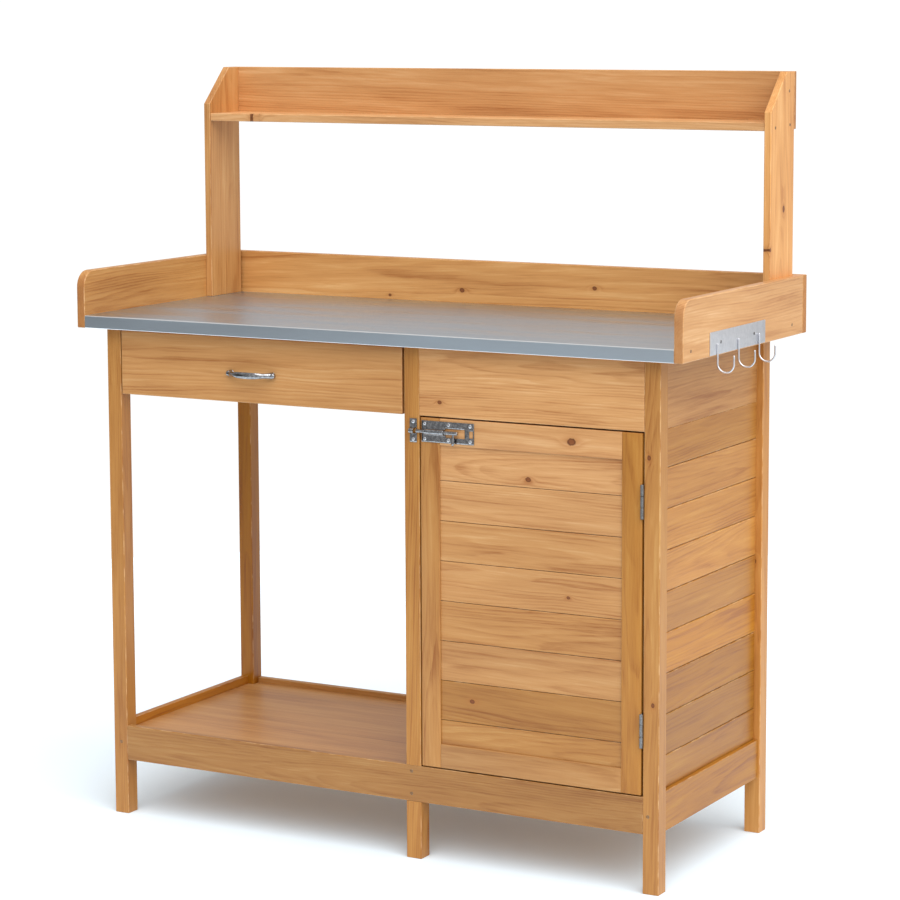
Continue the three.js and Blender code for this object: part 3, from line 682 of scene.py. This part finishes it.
# Door tones are partly stain and partly painted shade: door_rail_bottom is set darker than door_rail_top.
doorFrame = {
    "door_stile_left": {"grain": "Z", "tone": 0.68, "warm": 0.1},
    "door_stile_right": {"grain": "Z", "tone": 0.59, "warm": 0.3},
    "door_rail_top": {"grain": "X", "tone": 1.02, "warm": -0.14, "knots": [(0.73, 0.5, 5.2)]},
    "door_rail_bottom": {"grain": "X", "tone": 0.68},
}
doorEasing = {"width": 1.2, "segments": 3, "sharpest": 40.0}
# Slat tones rise from the first slat to the last: partly stain, partly painted shade darker towards the bottom
# of the door.
slats = {
    "arris": 0.7, "trim": (0, 0, 0.3),
    "tones": (0.63, 0.57, 0.79, 0.77, 0.86, 0.83, 0.93, 1.03),
    "warm": (0.13, 0.16, -0.04, 0.02, -0.05, -0.03, -0.1, -0.14),
    "knots": {1: [(0.19, 0.55, 3.0)], 4: [(0.7, 0.4, 2.2)], 7: [(0.49, 0.2, 3.4)]},
}


def grooveBlock(node, grain, **look):
    # A stile or rail from its own CAD shape, merged and with eased arrises, because its groove stops short.
    low, high = boxOf(node)
    name = plainName(node)
    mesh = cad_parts[node].data.copy()
    mesh.name = name
    work = bmesh.new()
    work.from_mesh(mesh)
    bmesh.ops.remove_doubles(work, verts=work.verts, dist=1e-5)
    bmesh.ops.dissolve_limit(work, angle_limit=math.radians(1), verts=work.verts, edges=work.edges)
    work.to_mesh(mesh)
    work.free()
    mesh.materials.clear()
    mesh.materials.append(stainedFir(name + "Fir", low * mm, high * mm, grain, **look))
    piece = bpy.data.objects.new(name, mesh)
    bpy.context.scene.collection.objects.link(piece)
    bevel = piece.modifiers.new("easedArrises", "BEVEL")
    bevel.width = doorEasing["width"] * mm
    bevel.segments = doorEasing["segments"]
    bevel.limit_method = "ANGLE"
    bevel.angle_limit = math.radians(doorEasing["sharpest"])
    bevel.harden_normals = True
    mesh.polygons.foreach_set("use_smooth", np.ones(len(mesh.polygons), bool))
    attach(piece, "door")
    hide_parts(node)


def makeDrawerAndDoor():
    for node, look in drawerBoards.items():
        firBoard(node, "drawer", **look)
    for node, look in doorFrame.items():
        grooveBlock(node, **look)
    for i, tone in enumerate(slats["tones"]):
        firBoard("door_slat_" + str(i + 1), "door", "X", slats["arris"], slats["trim"], tone=tone,
                 warm=slats["warm"][i], knots=slats["knots"].get(i, ()))


def metal(name, colour, dull, rough, spread=0.05, patches=(300, 300, 300), dents=0.0, flakes=0.0, paintedSheen=0.0):
    # Plated or polished metal. Patches shift its roughness and colour a little, dents bend the reflections,
    # flakes are the crystals of the plating, and rubbed whitens the colour where arris is high: a painted
    # highlight on the rounded edges.
    material = bpy.data.materials.new(name)
    material.use_nodes = True
    tree = material.node_tree
    shader = tree.nodes["Principled BSDF"]
    place = put(tree, "ShaderNodeTexCoord").outputs["Object"]
    cloud = cloudy(tree, place, patches, 4, 0.6)
    colourNow = blended(tree, eased(tree, cloud, 0.3, 0.7), colour, dull)
    if flakes:
        cells = put(tree, "ShaderNodeTexVoronoi", {"Vector": place, "Scale": flakes}, feature="F1")
        tint = put(tree, "ShaderNodeSeparateColor", {0: cells.outputs["Color"]}).outputs[0]
        colourNow = blended(tree, sums(tree, "MULTIPLY", tint, 0.35), colourNow, dull)
        cloud = sums(tree, "MULTIPLY_ADD", tint, 0.5, sums(tree, "MULTIPLY", cloud, 0.5))
    # painted highlight: the colour is mixed towards white by the arris attribute
    if paintedSheen:
        wearAndSheen = put(tree, "ShaderNodeAttribute", attribute_name="arris").outputs["Fac"]
        colourNow = blended(tree, sums(tree, "MULTIPLY", wearAndSheen, paintedSheen), colourNow, (1, 1, 1, 1))
    tree.links.new(colourNow, shader.inputs["Base Color"])
    tree.links.new(eased(tree, cloud, 0.2, 0.8, rough - spread, rough + spread), shader.inputs["Roughness"])
    shader.inputs["Metallic"].default_value = 1.0
    if dents:
        wave = cloudy(tree, place, (7, 9, 9), 2, 0.5)
        bump = put(tree, "ShaderNodeBump", {"Height": wave, "Strength": 1.0, "Distance": dents})
        tree.links.new(bump.outputs[0], shader.inputs["Normal"])
    return material


galvanised = metal("galvanisedSheet", shade(198, 211, 222), shade(186, 199, 210), rough=0.34, spread=0.07,
                   patches=(3, 24, 24), dents=0.0004, paintedSheen=0.9)
chrome = metal("chrome", shade(184, 184, 186), shade(126, 126, 128), rough=0.12)
brightSteel = metal("brightSteel", shade(244, 244, 246), shade(226, 226, 230), rough=0.3)
zinc = metal("zincPlate", shade(229, 229, 233), shade(216, 217, 221), rough=0.4, patches=(120, 120, 120),
             flakes=160.0)
hingeSteel = metal("hingeSteel", shade(150, 150, 150), shade(120, 118, 116), rough=0.38, spread=0.08)
screwSteel = metal("screwSteel", shade(150, 132, 112), shade(110, 90, 70), rough=0.4, spread=0.08,
                   patches=(500, 500, 500))

sheet = {
    "thickness": 1.0, "return": 9.0, "fold": 2.2, "innerFold": 1.2, "lip": 1.4, "innerLip": 0.4, "hem": 0.4,
    "endArris": 0.3, "frontSheen": 0.14, "frontBand": 0.05,
}


def makeWorktopSheet():
    # The sheet's section, in YZ, runs over the top, down the front and back under the board's edge.
    (left, front, bottom), (right, back, top) = boxOf("worktop_sheet")
    thin, under = sheet["thickness"], front + sheet["return"]
    corners = [(front, bottom), (under, bottom), (under, bottom + thin), (front + thin, bottom + thin),
               (front + thin, top - thin), (back, top - thin), (back, top), (front, top)]
    radii = [sheet["lip"], sheet["hem"], sheet["hem"], sheet["innerLip"], sheet["innerFold"],
             sheet["hem"], sheet["hem"], sheet["fold"]]
    points, facing, wearAndSheen, faces = outlineSolid(corners, radii, "X", left, right, sheet["endArris"], steps=7)
    # painted sheen: the front band's arris value is raised to frontSheen so its colour is whitened, and the
    # fold's arris whitens it too as a painted highlight line
    onFront = points[:, 1] < front + sheet["frontBand"]
    wearAndSheen = np.where(onFront, np.maximum(wearAndSheen, sheet["frontSheen"]), wearAndSheen)
    solid = (points, facing, wearAndSheen, faces)
    makePiece("worktopSheet", "bench", galvanised, [solid], "worktop_sheet")


rightFace, leftFace, frontFace = (1, 0, 0), (-1, 0, 0), (0, -1, 0)
screws = {
    "around": 32, "recess": 0.55, "arm": 0.14, "depth": 0.33,    # the cross, in shares of the radius
    "rings": (1.0, 1.0, 0.94, 0.8, 0.62, 0.5, 0.36, 0.22, 0.08),
    "lift": (-0.6, 0.0, 0.55, 0.8, 0.9, 0.95, 1.0, 1.0, 1.0),
}


def screwHead(at, direction, radius, proud):
    # A countersunk head: height over a polar grid = shallow dome less a cross-shaped recess.
    w = np.array(direction, float)
    u = np.cross(w, allAxes[int(np.argmin(np.abs(w)))])
    u /= np.linalg.norm(u)
    v = np.cross(w, u)
    rings, lift = np.array(screws["rings"]) * radius, np.array(screws["lift"]) * proud
    angle = np.linspace(0, 2 * np.pi, screws["around"], endpoint=False)
    x, y = rings[:, None] * np.cos(angle), rings[:, None] * np.sin(angle)
    arm = np.minimum(np.abs(x), np.abs(y))
    inside = (np.hypot(x, y) < screws["recess"] * radius) & (arm < screws["arm"] * radius)
    height = lift[:, None] - np.where(inside, screws["depth"] * radius, 0.0)
    points = np.array(at, float) + x[..., None] * u + y[..., None] * v + height[..., None] * w
    return points.reshape(-1, 3), None, None, ringFaces(len(rings), screws["around"])


def screwSet(name, body, material, places, radius, proud):
    heads = [screwHead(at, way, radius, proud) for at, way in places]
    makePiece(name, body, material, heads, None)


woodScrews = {
    "radius": 2.6, "proud": 0.25,
    "curbFront": (29, 17), "curbBack": (47, 19),         # in from the curb's end, up from its bottom
    "plank": [(76, 32), (18, 91), (80, 88)],             # back from the plank's front edge, down from its top
    "railAside": 4, "railTop": 10, "railBottom": 13,
    "leftLeg": (15, 31), "rightLeg": (9, 30),            # in from the leg's left edge, up from the rail's foot
}


def makeWoodScrews():
    (_, curbFront, curbBottom), (curbRight, curbBack, _) = boxOf("curb_right")
    (_, plankFront, _), (plankRight, _, plankTop) = boxOf("upright_right")
    (_, railFront, railBottom), (_, _, railTop) = boxOf("rail_front")
    middleLow, middleHigh = boxOf("leg_front_middle")
    legFront = boxOf("leg_front_left")[0][1]
    frontInset, frontRise = woodScrews["curbFront"]
    backInset, backRise = woodScrews["curbBack"]
    places = []
    for face, curbX, plankX in [(rightFace, curbRight, plankRight),
                                (leftFace, boxOf("curb_left")[0][0], boxOf("upright_left")[0][0])]:
        places.append(((curbX, curbFront + frontInset, curbBottom + frontRise), face))
        places.append(((curbX, curbBack - backInset, curbBottom + backRise), face))
        places += [((plankX, plankFront + inset, plankTop - drop), face)
                   for inset, drop in woodScrews["plank"]]
    middleX = (middleLow[0] + middleHigh[0]) / 2 - woodScrews["railAside"]
    places.append(((middleX, railFront, railTop - woodScrews["railTop"]), frontFace))
    places.append(((middleX, railFront, railBottom + woodScrews["railBottom"]), frontFace))
    for leg, (inset, rise) in [("leg_front_left", woodScrews["leftLeg"]),
                               ("leg_front_right", woodScrews["rightLeg"])]:
        places.append(((boxOf(leg)[0][0] + inset, legFront, railBottom + rise), frontFace))
    screwSet("benchScrews", "bench", screwSteel, places,
             radius=woodScrews["radius"], proud=woodScrews["proud"])


pull = {
    "stations": (0, 0.4, 0.68, 0.86, 0.95, 1.0),         # shares of the way from the middle to an end
    "heights": (5.7, 5.358, 4.2, 5.04, 5.6, 4.76),
    "depths": (2.6, 2.5, 2.8, 4.0, 4.5, 4.0),
    "endBow": 4.7, "endInset": 4.5, "flat": 0.1, "slope": 0.8, "power": 2.2, "footReach": 41,
    "foot": [(5.6, 0), (5.6, 1.2), (5.0, 1.8), (4.2, 3.0), (4.0, 7.5)],
}


def makeHandle():
    # A bowed oval bar: distance from the drawer = end bow + the rest of the reach * (1 - share ** power).
    low, high = boxOf("drawer_handle")
    middle, wall = (low + high) / 2, high[1]
    halfSpan, reach = (high[0] - low[0]) / 2, high[1] - low[1]
    s = np.linspace(-1, 1, 61)
    share = np.clip((np.abs(s) - pull["flat"]) / pull["slope"], 0, 1)
    bow = pull["endBow"] + (reach - pull["endBow"] - pull["depths"][0]) * (1 - share ** pull["power"])
    along = middle[0] + s * (halfSpan - pull["endInset"])
    path = np.stack([along, wall - bow, np.full_like(s, middle[2])], -1)
    tall = np.interp(np.abs(s), pull["stations"], pull["heights"])
    wide = np.interp(np.abs(s), pull["stations"], pull["depths"])
    shells = [tubeSolid(path, wide, tall, (0, 0, 1), 24, 6)]
    for x in (middle[0] - pull["footReach"], middle[0] + pull["footReach"]):
        shells.append(turnedSolid(pull["foot"], (x, wall, middle[2]), (0, -1, 0)))
    makePiece("drawerHandle", "drawer", chrome, shells, "drawer_handle")


latch = {
    # x places are from the left leg's outer face, z places from the bolt's middle
    "ridgeHalf": 5.0, "ridgeLift": 4.0, "ridge": (632, 667), "proud": 1.5, "thickness": 1.3,
    "window": (667.6, 703, -8.5, 6.5), "hole": (711, 718, -6, 5),
    "plateHalf": 17.5, "keeperHalf": 19.5, "keeperMargin": 1.5,
    "screwX": (629, 673, 713), "screwZ": 12.5, "keeperScrewZ": 14.5, "screwRadius": 2.9, "screwProud": 0.8,
    "edge": 0.25, "edgeAngle": 50.0,
}
bolt = {
    "radius": 3.0, "chamfer": 0.6, "pole": 0.3, "depth": 5.5,
    "knobX": 684, "knobLength": 18, "knobLean": 0.08,
    "knobStations": (0, 0.25, 0.6, 0.85, 1), "knobRadii": (2.2, 2.0, 2.3, 2.9, 2.5),
}
benchX = boxOf("leg_front_left")[0][0]            # the left leg's outer face
doorFace = boxOf("door_stile_left")[0][1]
latchZ = (boxOf("latch_plate")[0][2] + boxOf("latch_plate")[1][2]) / 2


def bentPlate(xLines, zLines, ridge, holes):
    # A plate in XZ facing -Y, as a grid of lines. Between -ridgeHalf and ridgeHalf about its middle it rises
    # in a U over the ridge: straight sides, then a half circle. Cells inside holes are left out.
    half, lift = latch["ridgeHalf"], latch["ridgeLift"]
    x, z = np.meshgrid(xLines, zLines, indexing="ij")
    share = np.clip(z / half, -1, 1)
    side = lift / (lift + half * np.pi / 2)
    bent = 1 - (1 - np.abs(share)) / side
    around = np.clip((1 - np.abs(share) - side) / (1 - side), 0, 1) * np.pi / 2
    rise = np.where(bent > 0, (1 - bent) * lift, lift + half * np.sin(around))
    spread = np.sign(share) * half * np.where(bent > 0, 1.0, np.cos(around))
    over = (x > ridge[0] - 0.01) & (x < ridge[1] + 0.01)
    inRidge = over & (np.abs(z) < half)
    y = np.full_like(x, doorFace - latch["proud"]) - np.where(inRidge, rise, 0)
    points = np.stack([x, y, np.where(inRidge, spread, z) + latchZ], -1)
    rows, columns = x.shape
    i, j = np.meshgrid(np.arange(rows - 1), np.arange(columns - 1), indexing="ij")
    cellX, cellZ = (x[:-1, :-1] + x[1:, 1:]) / 2, (z[:-1, :-1] + z[1:, 1:]) / 2
    keep = ~((over[:-1, :-1] != over[1:, :-1]) & (np.abs(cellZ) < half))
    for x0, x1, z0, z1 in holes:
        keep &= ~((cellX > x0) & (cellX < x1) & (cellZ > z0) & (cellZ < z1))
    corner = (i * columns + j)[keep]
    quads = np.stack([corner, corner + columns, corner + columns + 1, corner + 1], -1)
    used, quads = np.unique(quads, return_inverse=True)
    return points.reshape(-1, 3)[used], quads.reshape(-1, 4)


def platePiece(name, body, points, quads, node):
    # The plate's face gets its thickness and its eased edges from modifiers.
    mesh = bpy.data.meshes.new(name)
    mesh.from_pydata((points * mm).tolist(), [], quads.tolist())
    mesh.polygons.foreach_set("use_smooth", np.ones(len(mesh.polygons), bool))
    mesh.materials.append(chrome)
    mesh.update()
    piece = bpy.data.objects.new(name, mesh)
    bpy.context.scene.collection.objects.link(piece)
    wall = piece.modifiers.new("wall", "SOLIDIFY")
    wall.thickness = latch["thickness"] * mm
    wall.offset = -1
    edge = piece.modifiers.new("easedEdges", "BEVEL")
    edge.width = latch["edge"] * mm
    edge.segments = 2
    edge.limit_method = "ANGLE"
    edge.angle_limit = math.radians(latch["edgeAngle"])
    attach(piece, body)
    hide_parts(node)


def linesWith(low, high, step, *needed):
    # evenly spaced lines and the needed ones, less any that would make a sliver
    lines = np.unique(np.round(np.concatenate([np.arange(low, high, step), needed, [high]]), 3))
    return lines[np.concatenate([[True], np.diff(lines) > 0.15])]


def latchScrewSet(name, body, places):
    heads = [((x, doorFace - latch["proud"], latchZ + z), frontFace) for x, z in places]
    screwSet(name, body, brightSteel, heads,
             radius=latch["screwRadius"], proud=latch["screwProud"])


def makeLatchPlates():
    (plateLeft, _, _), (plateRight, _, _) = boxOf("latch_plate")
    (keeperLeft, _, _), (keeperRight, _, _) = boxOf("latch_keeper")
    half, plateHalf, keeperHalf = latch["ridgeHalf"], latch["plateHalf"], latch["keeperHalf"]
    ridgeLines = np.linspace(-half, half, 21)
    ridge = [benchX + x for x in latch["ridge"]]
    holes = [(benchX + x0, benchX + x1, z0, z1) for x0, x1, z0, z1 in (latch["window"], latch["hole"])]
    windowRight, holeLeft, holeRight = holes[0][1], holes[1][0], holes[1][1]
    low, high = latch["window"][2:]
    xLines = linesWith(plateLeft, plateRight, 3.0, ridge[0] - 0.4, ridge[0], ridge[1], ridge[1] + 0.6,
                       windowRight, holeLeft, holeRight)
    zLines = np.unique(np.concatenate([np.linspace(-plateHalf, low, 5), np.linspace(low, -half, 3),
                                       ridgeLines, [high], np.linspace(high, plateHalf, 5)]))
    platePiece("latchPlate", "door", *bentPlate(xLines, zLines, ridge, holes), "latch_plate")
    latchScrewSet("latchScrews", "door",
                  [(benchX + x, z) for x in latch["screwX"] for z in (-latch["screwZ"], latch["screwZ"])])

    xLines = linesWith(keeperLeft, keeperRight, 2.0, keeperLeft + 0.2)
    zLines = np.unique(np.concatenate([np.linspace(-keeperHalf, -half, 6), ridgeLines,
                                       np.linspace(half, keeperHalf, 6)]))
    ridge = (keeperLeft + latch["keeperMargin"], keeperRight - latch["keeperMargin"])
    platePiece("latchKeeper", "bench", *bentPlate(xLines, zLines, ridge, []), "latch_keeper")
    middle = (keeperLeft + keeperRight) / 2
    latchScrewSet("keeperScrews", "bench",
                  [(middle, z) for z in (-latch["keeperScrewZ"], latch["keeperScrewZ"])])


def roundBar(r, length, chamfer, pole):
    # the (radius, height) profile of a bar with chamfered ends
    return [(pole, 0), (r - chamfer, 0), (r, chamfer),
            (r, length - chamfer), (r - chamfer, length), (pole, length)]


def makeBolt():
    # A chamfered round bar, and a knob hung from it that leans forward a little.
    low, high = boxOf("latch_bolt")
    y = doorFace - bolt["depth"]
    profile = roundBar(bolt["radius"], high[0] - low[0], bolt["chamfer"], bolt["pole"])
    s = np.linspace(0, 1, 14)
    down = bolt["knobLength"] * s
    lean = bolt["knobLean"]
    path = np.stack([np.full_like(s, benchX + bolt["knobX"]), y - down * math.sin(lean),
                     latchZ - down * math.cos(lean)], -1)
    radius = np.interp(s, bolt["knobStations"], bolt["knobRadii"])
    shells = [turnedSolid(profile, (low[0], y, latchZ), (1, 0, 0)),
              tubeSolid(path, radius, radius, (1, 0, 0), 20, 5)]
    makePiece("latchBolt", "bolt", chrome, shells, "latch_bolt")


hinge = {
    "knuckle": 18.0, "gap": 0.5, "radius": 3.0, "chamfer": 0.5, "pole": 0.4, "leaf": 1.25, "leafDepth": 22.0,
    "axisX": 1020.25, "axisDepth": 3.0, "leafStart": 0.4, "tabEnd": 0.6,   # axisX is from the left leg's face
}


def makeHingeLeaf(place, side, body):
    # One leaf in the gap beside the door, with its knuckles and the tabs that join them to the leaf.
    node = "hinge_" + place + "_" + side + "_leaf"
    frameLow, frameHigh = boxOf("hinge_" + place + "_frame_leaf")
    axisX, axisY = benchX + hinge["axisX"], doorFace - hinge["axisDepth"]
    bottom, top = frameLow[2], frameHigh[2]
    if side == "frame":
        spans = [(bottom, bottom + hinge["knuckle"]), (top - hinge["knuckle"], top)]
        right = boxOf("leg_front_right")[0][0]
        left = right - hinge["leaf"]
    else:
        spans = [(bottom + hinge["knuckle"] + hinge["gap"], top - hinge["knuckle"] - hinge["gap"])]
        left = boxOf("door_stile_right")[1][0]
        right = left + hinge["leaf"]

    def strip(front, back, arris, start, end, endArris):
        outline = [(left, front), (right, front), (right, back), (left, back)]
        return outlineSolid(outline, arris, "Z", start, end, endArris, 3, 2)

    shells = [strip(doorFace + hinge["leafStart"], doorFace + hinge["leafDepth"], 0.3, bottom, top, 0.25)]
    for start, end in spans:
        profile = roundBar(hinge["radius"], end - start, hinge["chamfer"], hinge["pole"])
        shells.append(turnedSolid(profile, (axisX, axisY, start), (0, 0, 1)))
        shells.append(strip(axisY, doorFace + hinge["tabEnd"], 0.15, start, end, 0.1))
    makePiece(plainName(node), body, hingeSteel, shells, node)


rack = {
    "thickness": 1.5, "arris": 0.4, "corner": 1.5, "plateHeight": 37.0, "plateLength": 220.0,
    "wire": 1.5, "weld": 0.25, "span": 28.0, "drop": 14.0, "rise": 16.0, "tipDrop": 1.5,
    "places": (26.0, 109.0, 192.0),
    "screws": (41, 174), "screwRadius": 2.8, "screwProud": 0.8,
}


def makeHookRack():
    # A plate on the right curb; each hook's wire runs down it, round a half circle and up to a tip.
    low, high = boxOf("hook_rack")
    face = boxOf("curb_right")[1][0]
    front, top = low[1], high[2]
    bottom, back, outer = top - rack["plateHeight"], front + rack["plateLength"], face + rack["thickness"]
    corners = [(front, bottom), (back, bottom), (back, top), (front, top)]
    shells = [outlineSolid(corners, rack["corner"], "X", face, outer, rack["arris"], 5, 3)]
    bend, turnZ = rack["span"] / 2, bottom - rack["drop"]
    turn = np.linspace(np.pi, 2 * np.pi, 25)
    down = np.linspace(bottom + rack["rise"], turnZ, 9)[:-1]
    up = np.linspace(turnZ, bottom - rack["tipDrop"], 5)[1:]
    wireX = outer + rack["wire"] - rack["weld"]
    x = np.concatenate([np.full_like(down, wireX), wireX + bend + bend * np.cos(turn),
                        np.full_like(up, wireX + rack["span"])])
    z = np.concatenate([down, turnZ + bend * np.sin(turn), up])
    radius = np.full(len(x), rack["wire"])
    for offset in rack["places"]:
        path = np.stack([x, np.full_like(x, front + offset), z], -1)
        shells.append(tubeSolid(path, radius, radius, (0, 1, 0), 12, 4))
    makePiece("hookRack", "bench", zinc, shells, "hook_rack")
    heads = [((outer, front + y, (bottom + top) / 2), rightFace) for y in rack["screws"]]
    screwSet("rackScrews", "bench", hingeSteel, heads,
             radius=rack["screwRadius"], proud=rack["screwProud"])


studio = {
    "floorRadius": 2.6, "floorSides": 96, "floorColour": (0.81, 0.92, 1.0, 1), "floorGlow": 0.08,
    "sunStrength": 2.9, "sunAngle": 70.0, "sunTurn": (38.0, 0.0, 44.0),
    "ambient": 0.6, "fromSides": (0.16, 0.06, 0.1), "backdrop": 1.05, "roomDark": 0.75,
}


def makeFloorDisc():
    sides = studio["floorSides"]
    rim = np.linspace(0, 2 * np.pi, sides, endpoint=False)
    points = np.stack([np.cos(rim), np.sin(rim), 0 * rim], -1) * studio["floorRadius"]
    mesh = bpy.data.meshes.new("studioFloor")
    mesh.from_pydata(points.tolist(), [], [list(range(sides))])
    disc = bpy.data.objects.new("studioFloor", mesh)
    bpy.context.scene.collection.objects.link(disc)
    paint = bpy.data.materials.new("floorPaint")
    paint.use_nodes = True
    sockets = paint.node_tree.nodes["Principled BSDF"].inputs
    sockets["Base Color"].default_value = studio["floorColour"]
    sockets["Roughness"].default_value = 0.9
    sockets["Specular IOR Level"].default_value = 0.1
    sockets["Emission Color"].default_value = (1, 1, 1, 1)
    sockets["Emission Strength"].default_value = studio["floorGlow"]
    mesh.materials.append(paint)


def makeLight():
    # A white room, brighter from the sides that fromSides points to, with a darker part low at the front left.
    world = bpy.data.worlds.new("studio")
    bpy.context.scene.world = world
    world.use_nodes = True
    tree = world.node_tree
    backdrop = tree.nodes["Background"]
    seen = put(tree, "ShaderNodeLightPath").outputs["Is Camera Ray"]
    around = put(tree, "ShaderNodeTexCoord").outputs["Generated"]
    lean = put(tree, "ShaderNodeVectorMath", {0: around, 1: studio["fromSides"]}, operation="DOT_PRODUCT")
    glow = sums(tree, "ADD", lean.outputs["Value"], studio["ambient"])
    heading = put(tree, "ShaderNodeSeparateXYZ", {0: around}).outputs
    inFront = eased(tree, heading[1], -0.5, 0.1, 1.0, 0.0)
    low = sums(tree, "MULTIPLY", inFront, eased(tree, heading[2], 0.05, 0.45, 1.0, 0.0))
    room = sums(tree, "MULTIPLY", low, eased(tree, heading[0], -0.66, -0.42, 1.0, 0.0))
    glow = sums(tree, "MULTIPLY", glow, sums(tree, "MULTIPLY_ADD", room, -studio["roomDark"], 1.0))
    strength = sums(tree, "MAXIMUM", sums(tree, "MULTIPLY", seen, studio["backdrop"]), glow)
    tree.links.new(strength, backdrop.inputs["Strength"])
    backdrop.inputs["Color"].default_value = (1, 1, 1, 1)

    sun = bpy.data.lights.new("overheadSoft", "SUN")
    sun.energy = studio["sunStrength"]
    sun.angle = math.radians(studio["sunAngle"])
    lamp = bpy.data.objects.new("overheadSoft", sun)
    lamp.rotation_euler = tuple(math.radians(a) for a in studio["sunTurn"])
    bpy.context.scene.collection.objects.link(lamp)


camera = {
    "place": (2.420875, -4.3505, 1.406), "yaw": 29.01, "pitch": 7.23, "roll": 0.22,
    "lens": 117.76, "sensor": 36.0, "shift": -0.08, "farthest": 60,
}


def makeCamera():
    lens = bpy.data.cameras.new("bench")
    lens.lens = camera["lens"]
    lens.sensor_width = camera["sensor"]
    lens.shift_y = camera["shift"]
    lens.clip_end = camera["farthest"]
    viewer = bpy.data.objects.new("bench", lens)
    turned = (Matrix.Rotation(math.radians(camera["yaw"]), 4, "Z")
              @ Matrix.Rotation(math.radians(90 - camera["pitch"]), 4, "X")
              @ Matrix.Rotation(math.radians(-camera["roll"]), 4, "Z"))
    viewer.matrix_world = Matrix.Translation(camera["place"]) @ turned
    bpy.context.scene.collection.objects.link(viewer)
    bpy.context.scene.camera = viewer
    bpy.context.scene.view_settings.view_transform = "Standard"


makeCornerLegs()
for node, tone in legs["middleTone"].items():
    makeMiddleLeg(node, tone)
makeRails()
print("legs and rails")
makeCurbs()
makeUprights()
makeShelfBoards()
print("curbs and raised shelf")
makePanels()
for node in ("floor_bay", "floor_cabinet"):
    makeFloor(node)
print("panels and floors")
makeDrawerAndDoor()
print("drawer and door")
makeWorktopSheet()
print("worktop sheet")
makeWoodScrews()
print("screws")
makeHandle()
print("drawer handle")
makeLatchPlates()
makeBolt()
print("slide latch")
for place in ("lower", "upper"):
    for side, body in (("frame", "bench"), ("door", "door")):
        makeHingeLeaf(place, side, body)
print("hinges")
makeHookRack()
print("hook rack")
makeFloorDisc()
makeLight()
makeCamera()
print("studio")
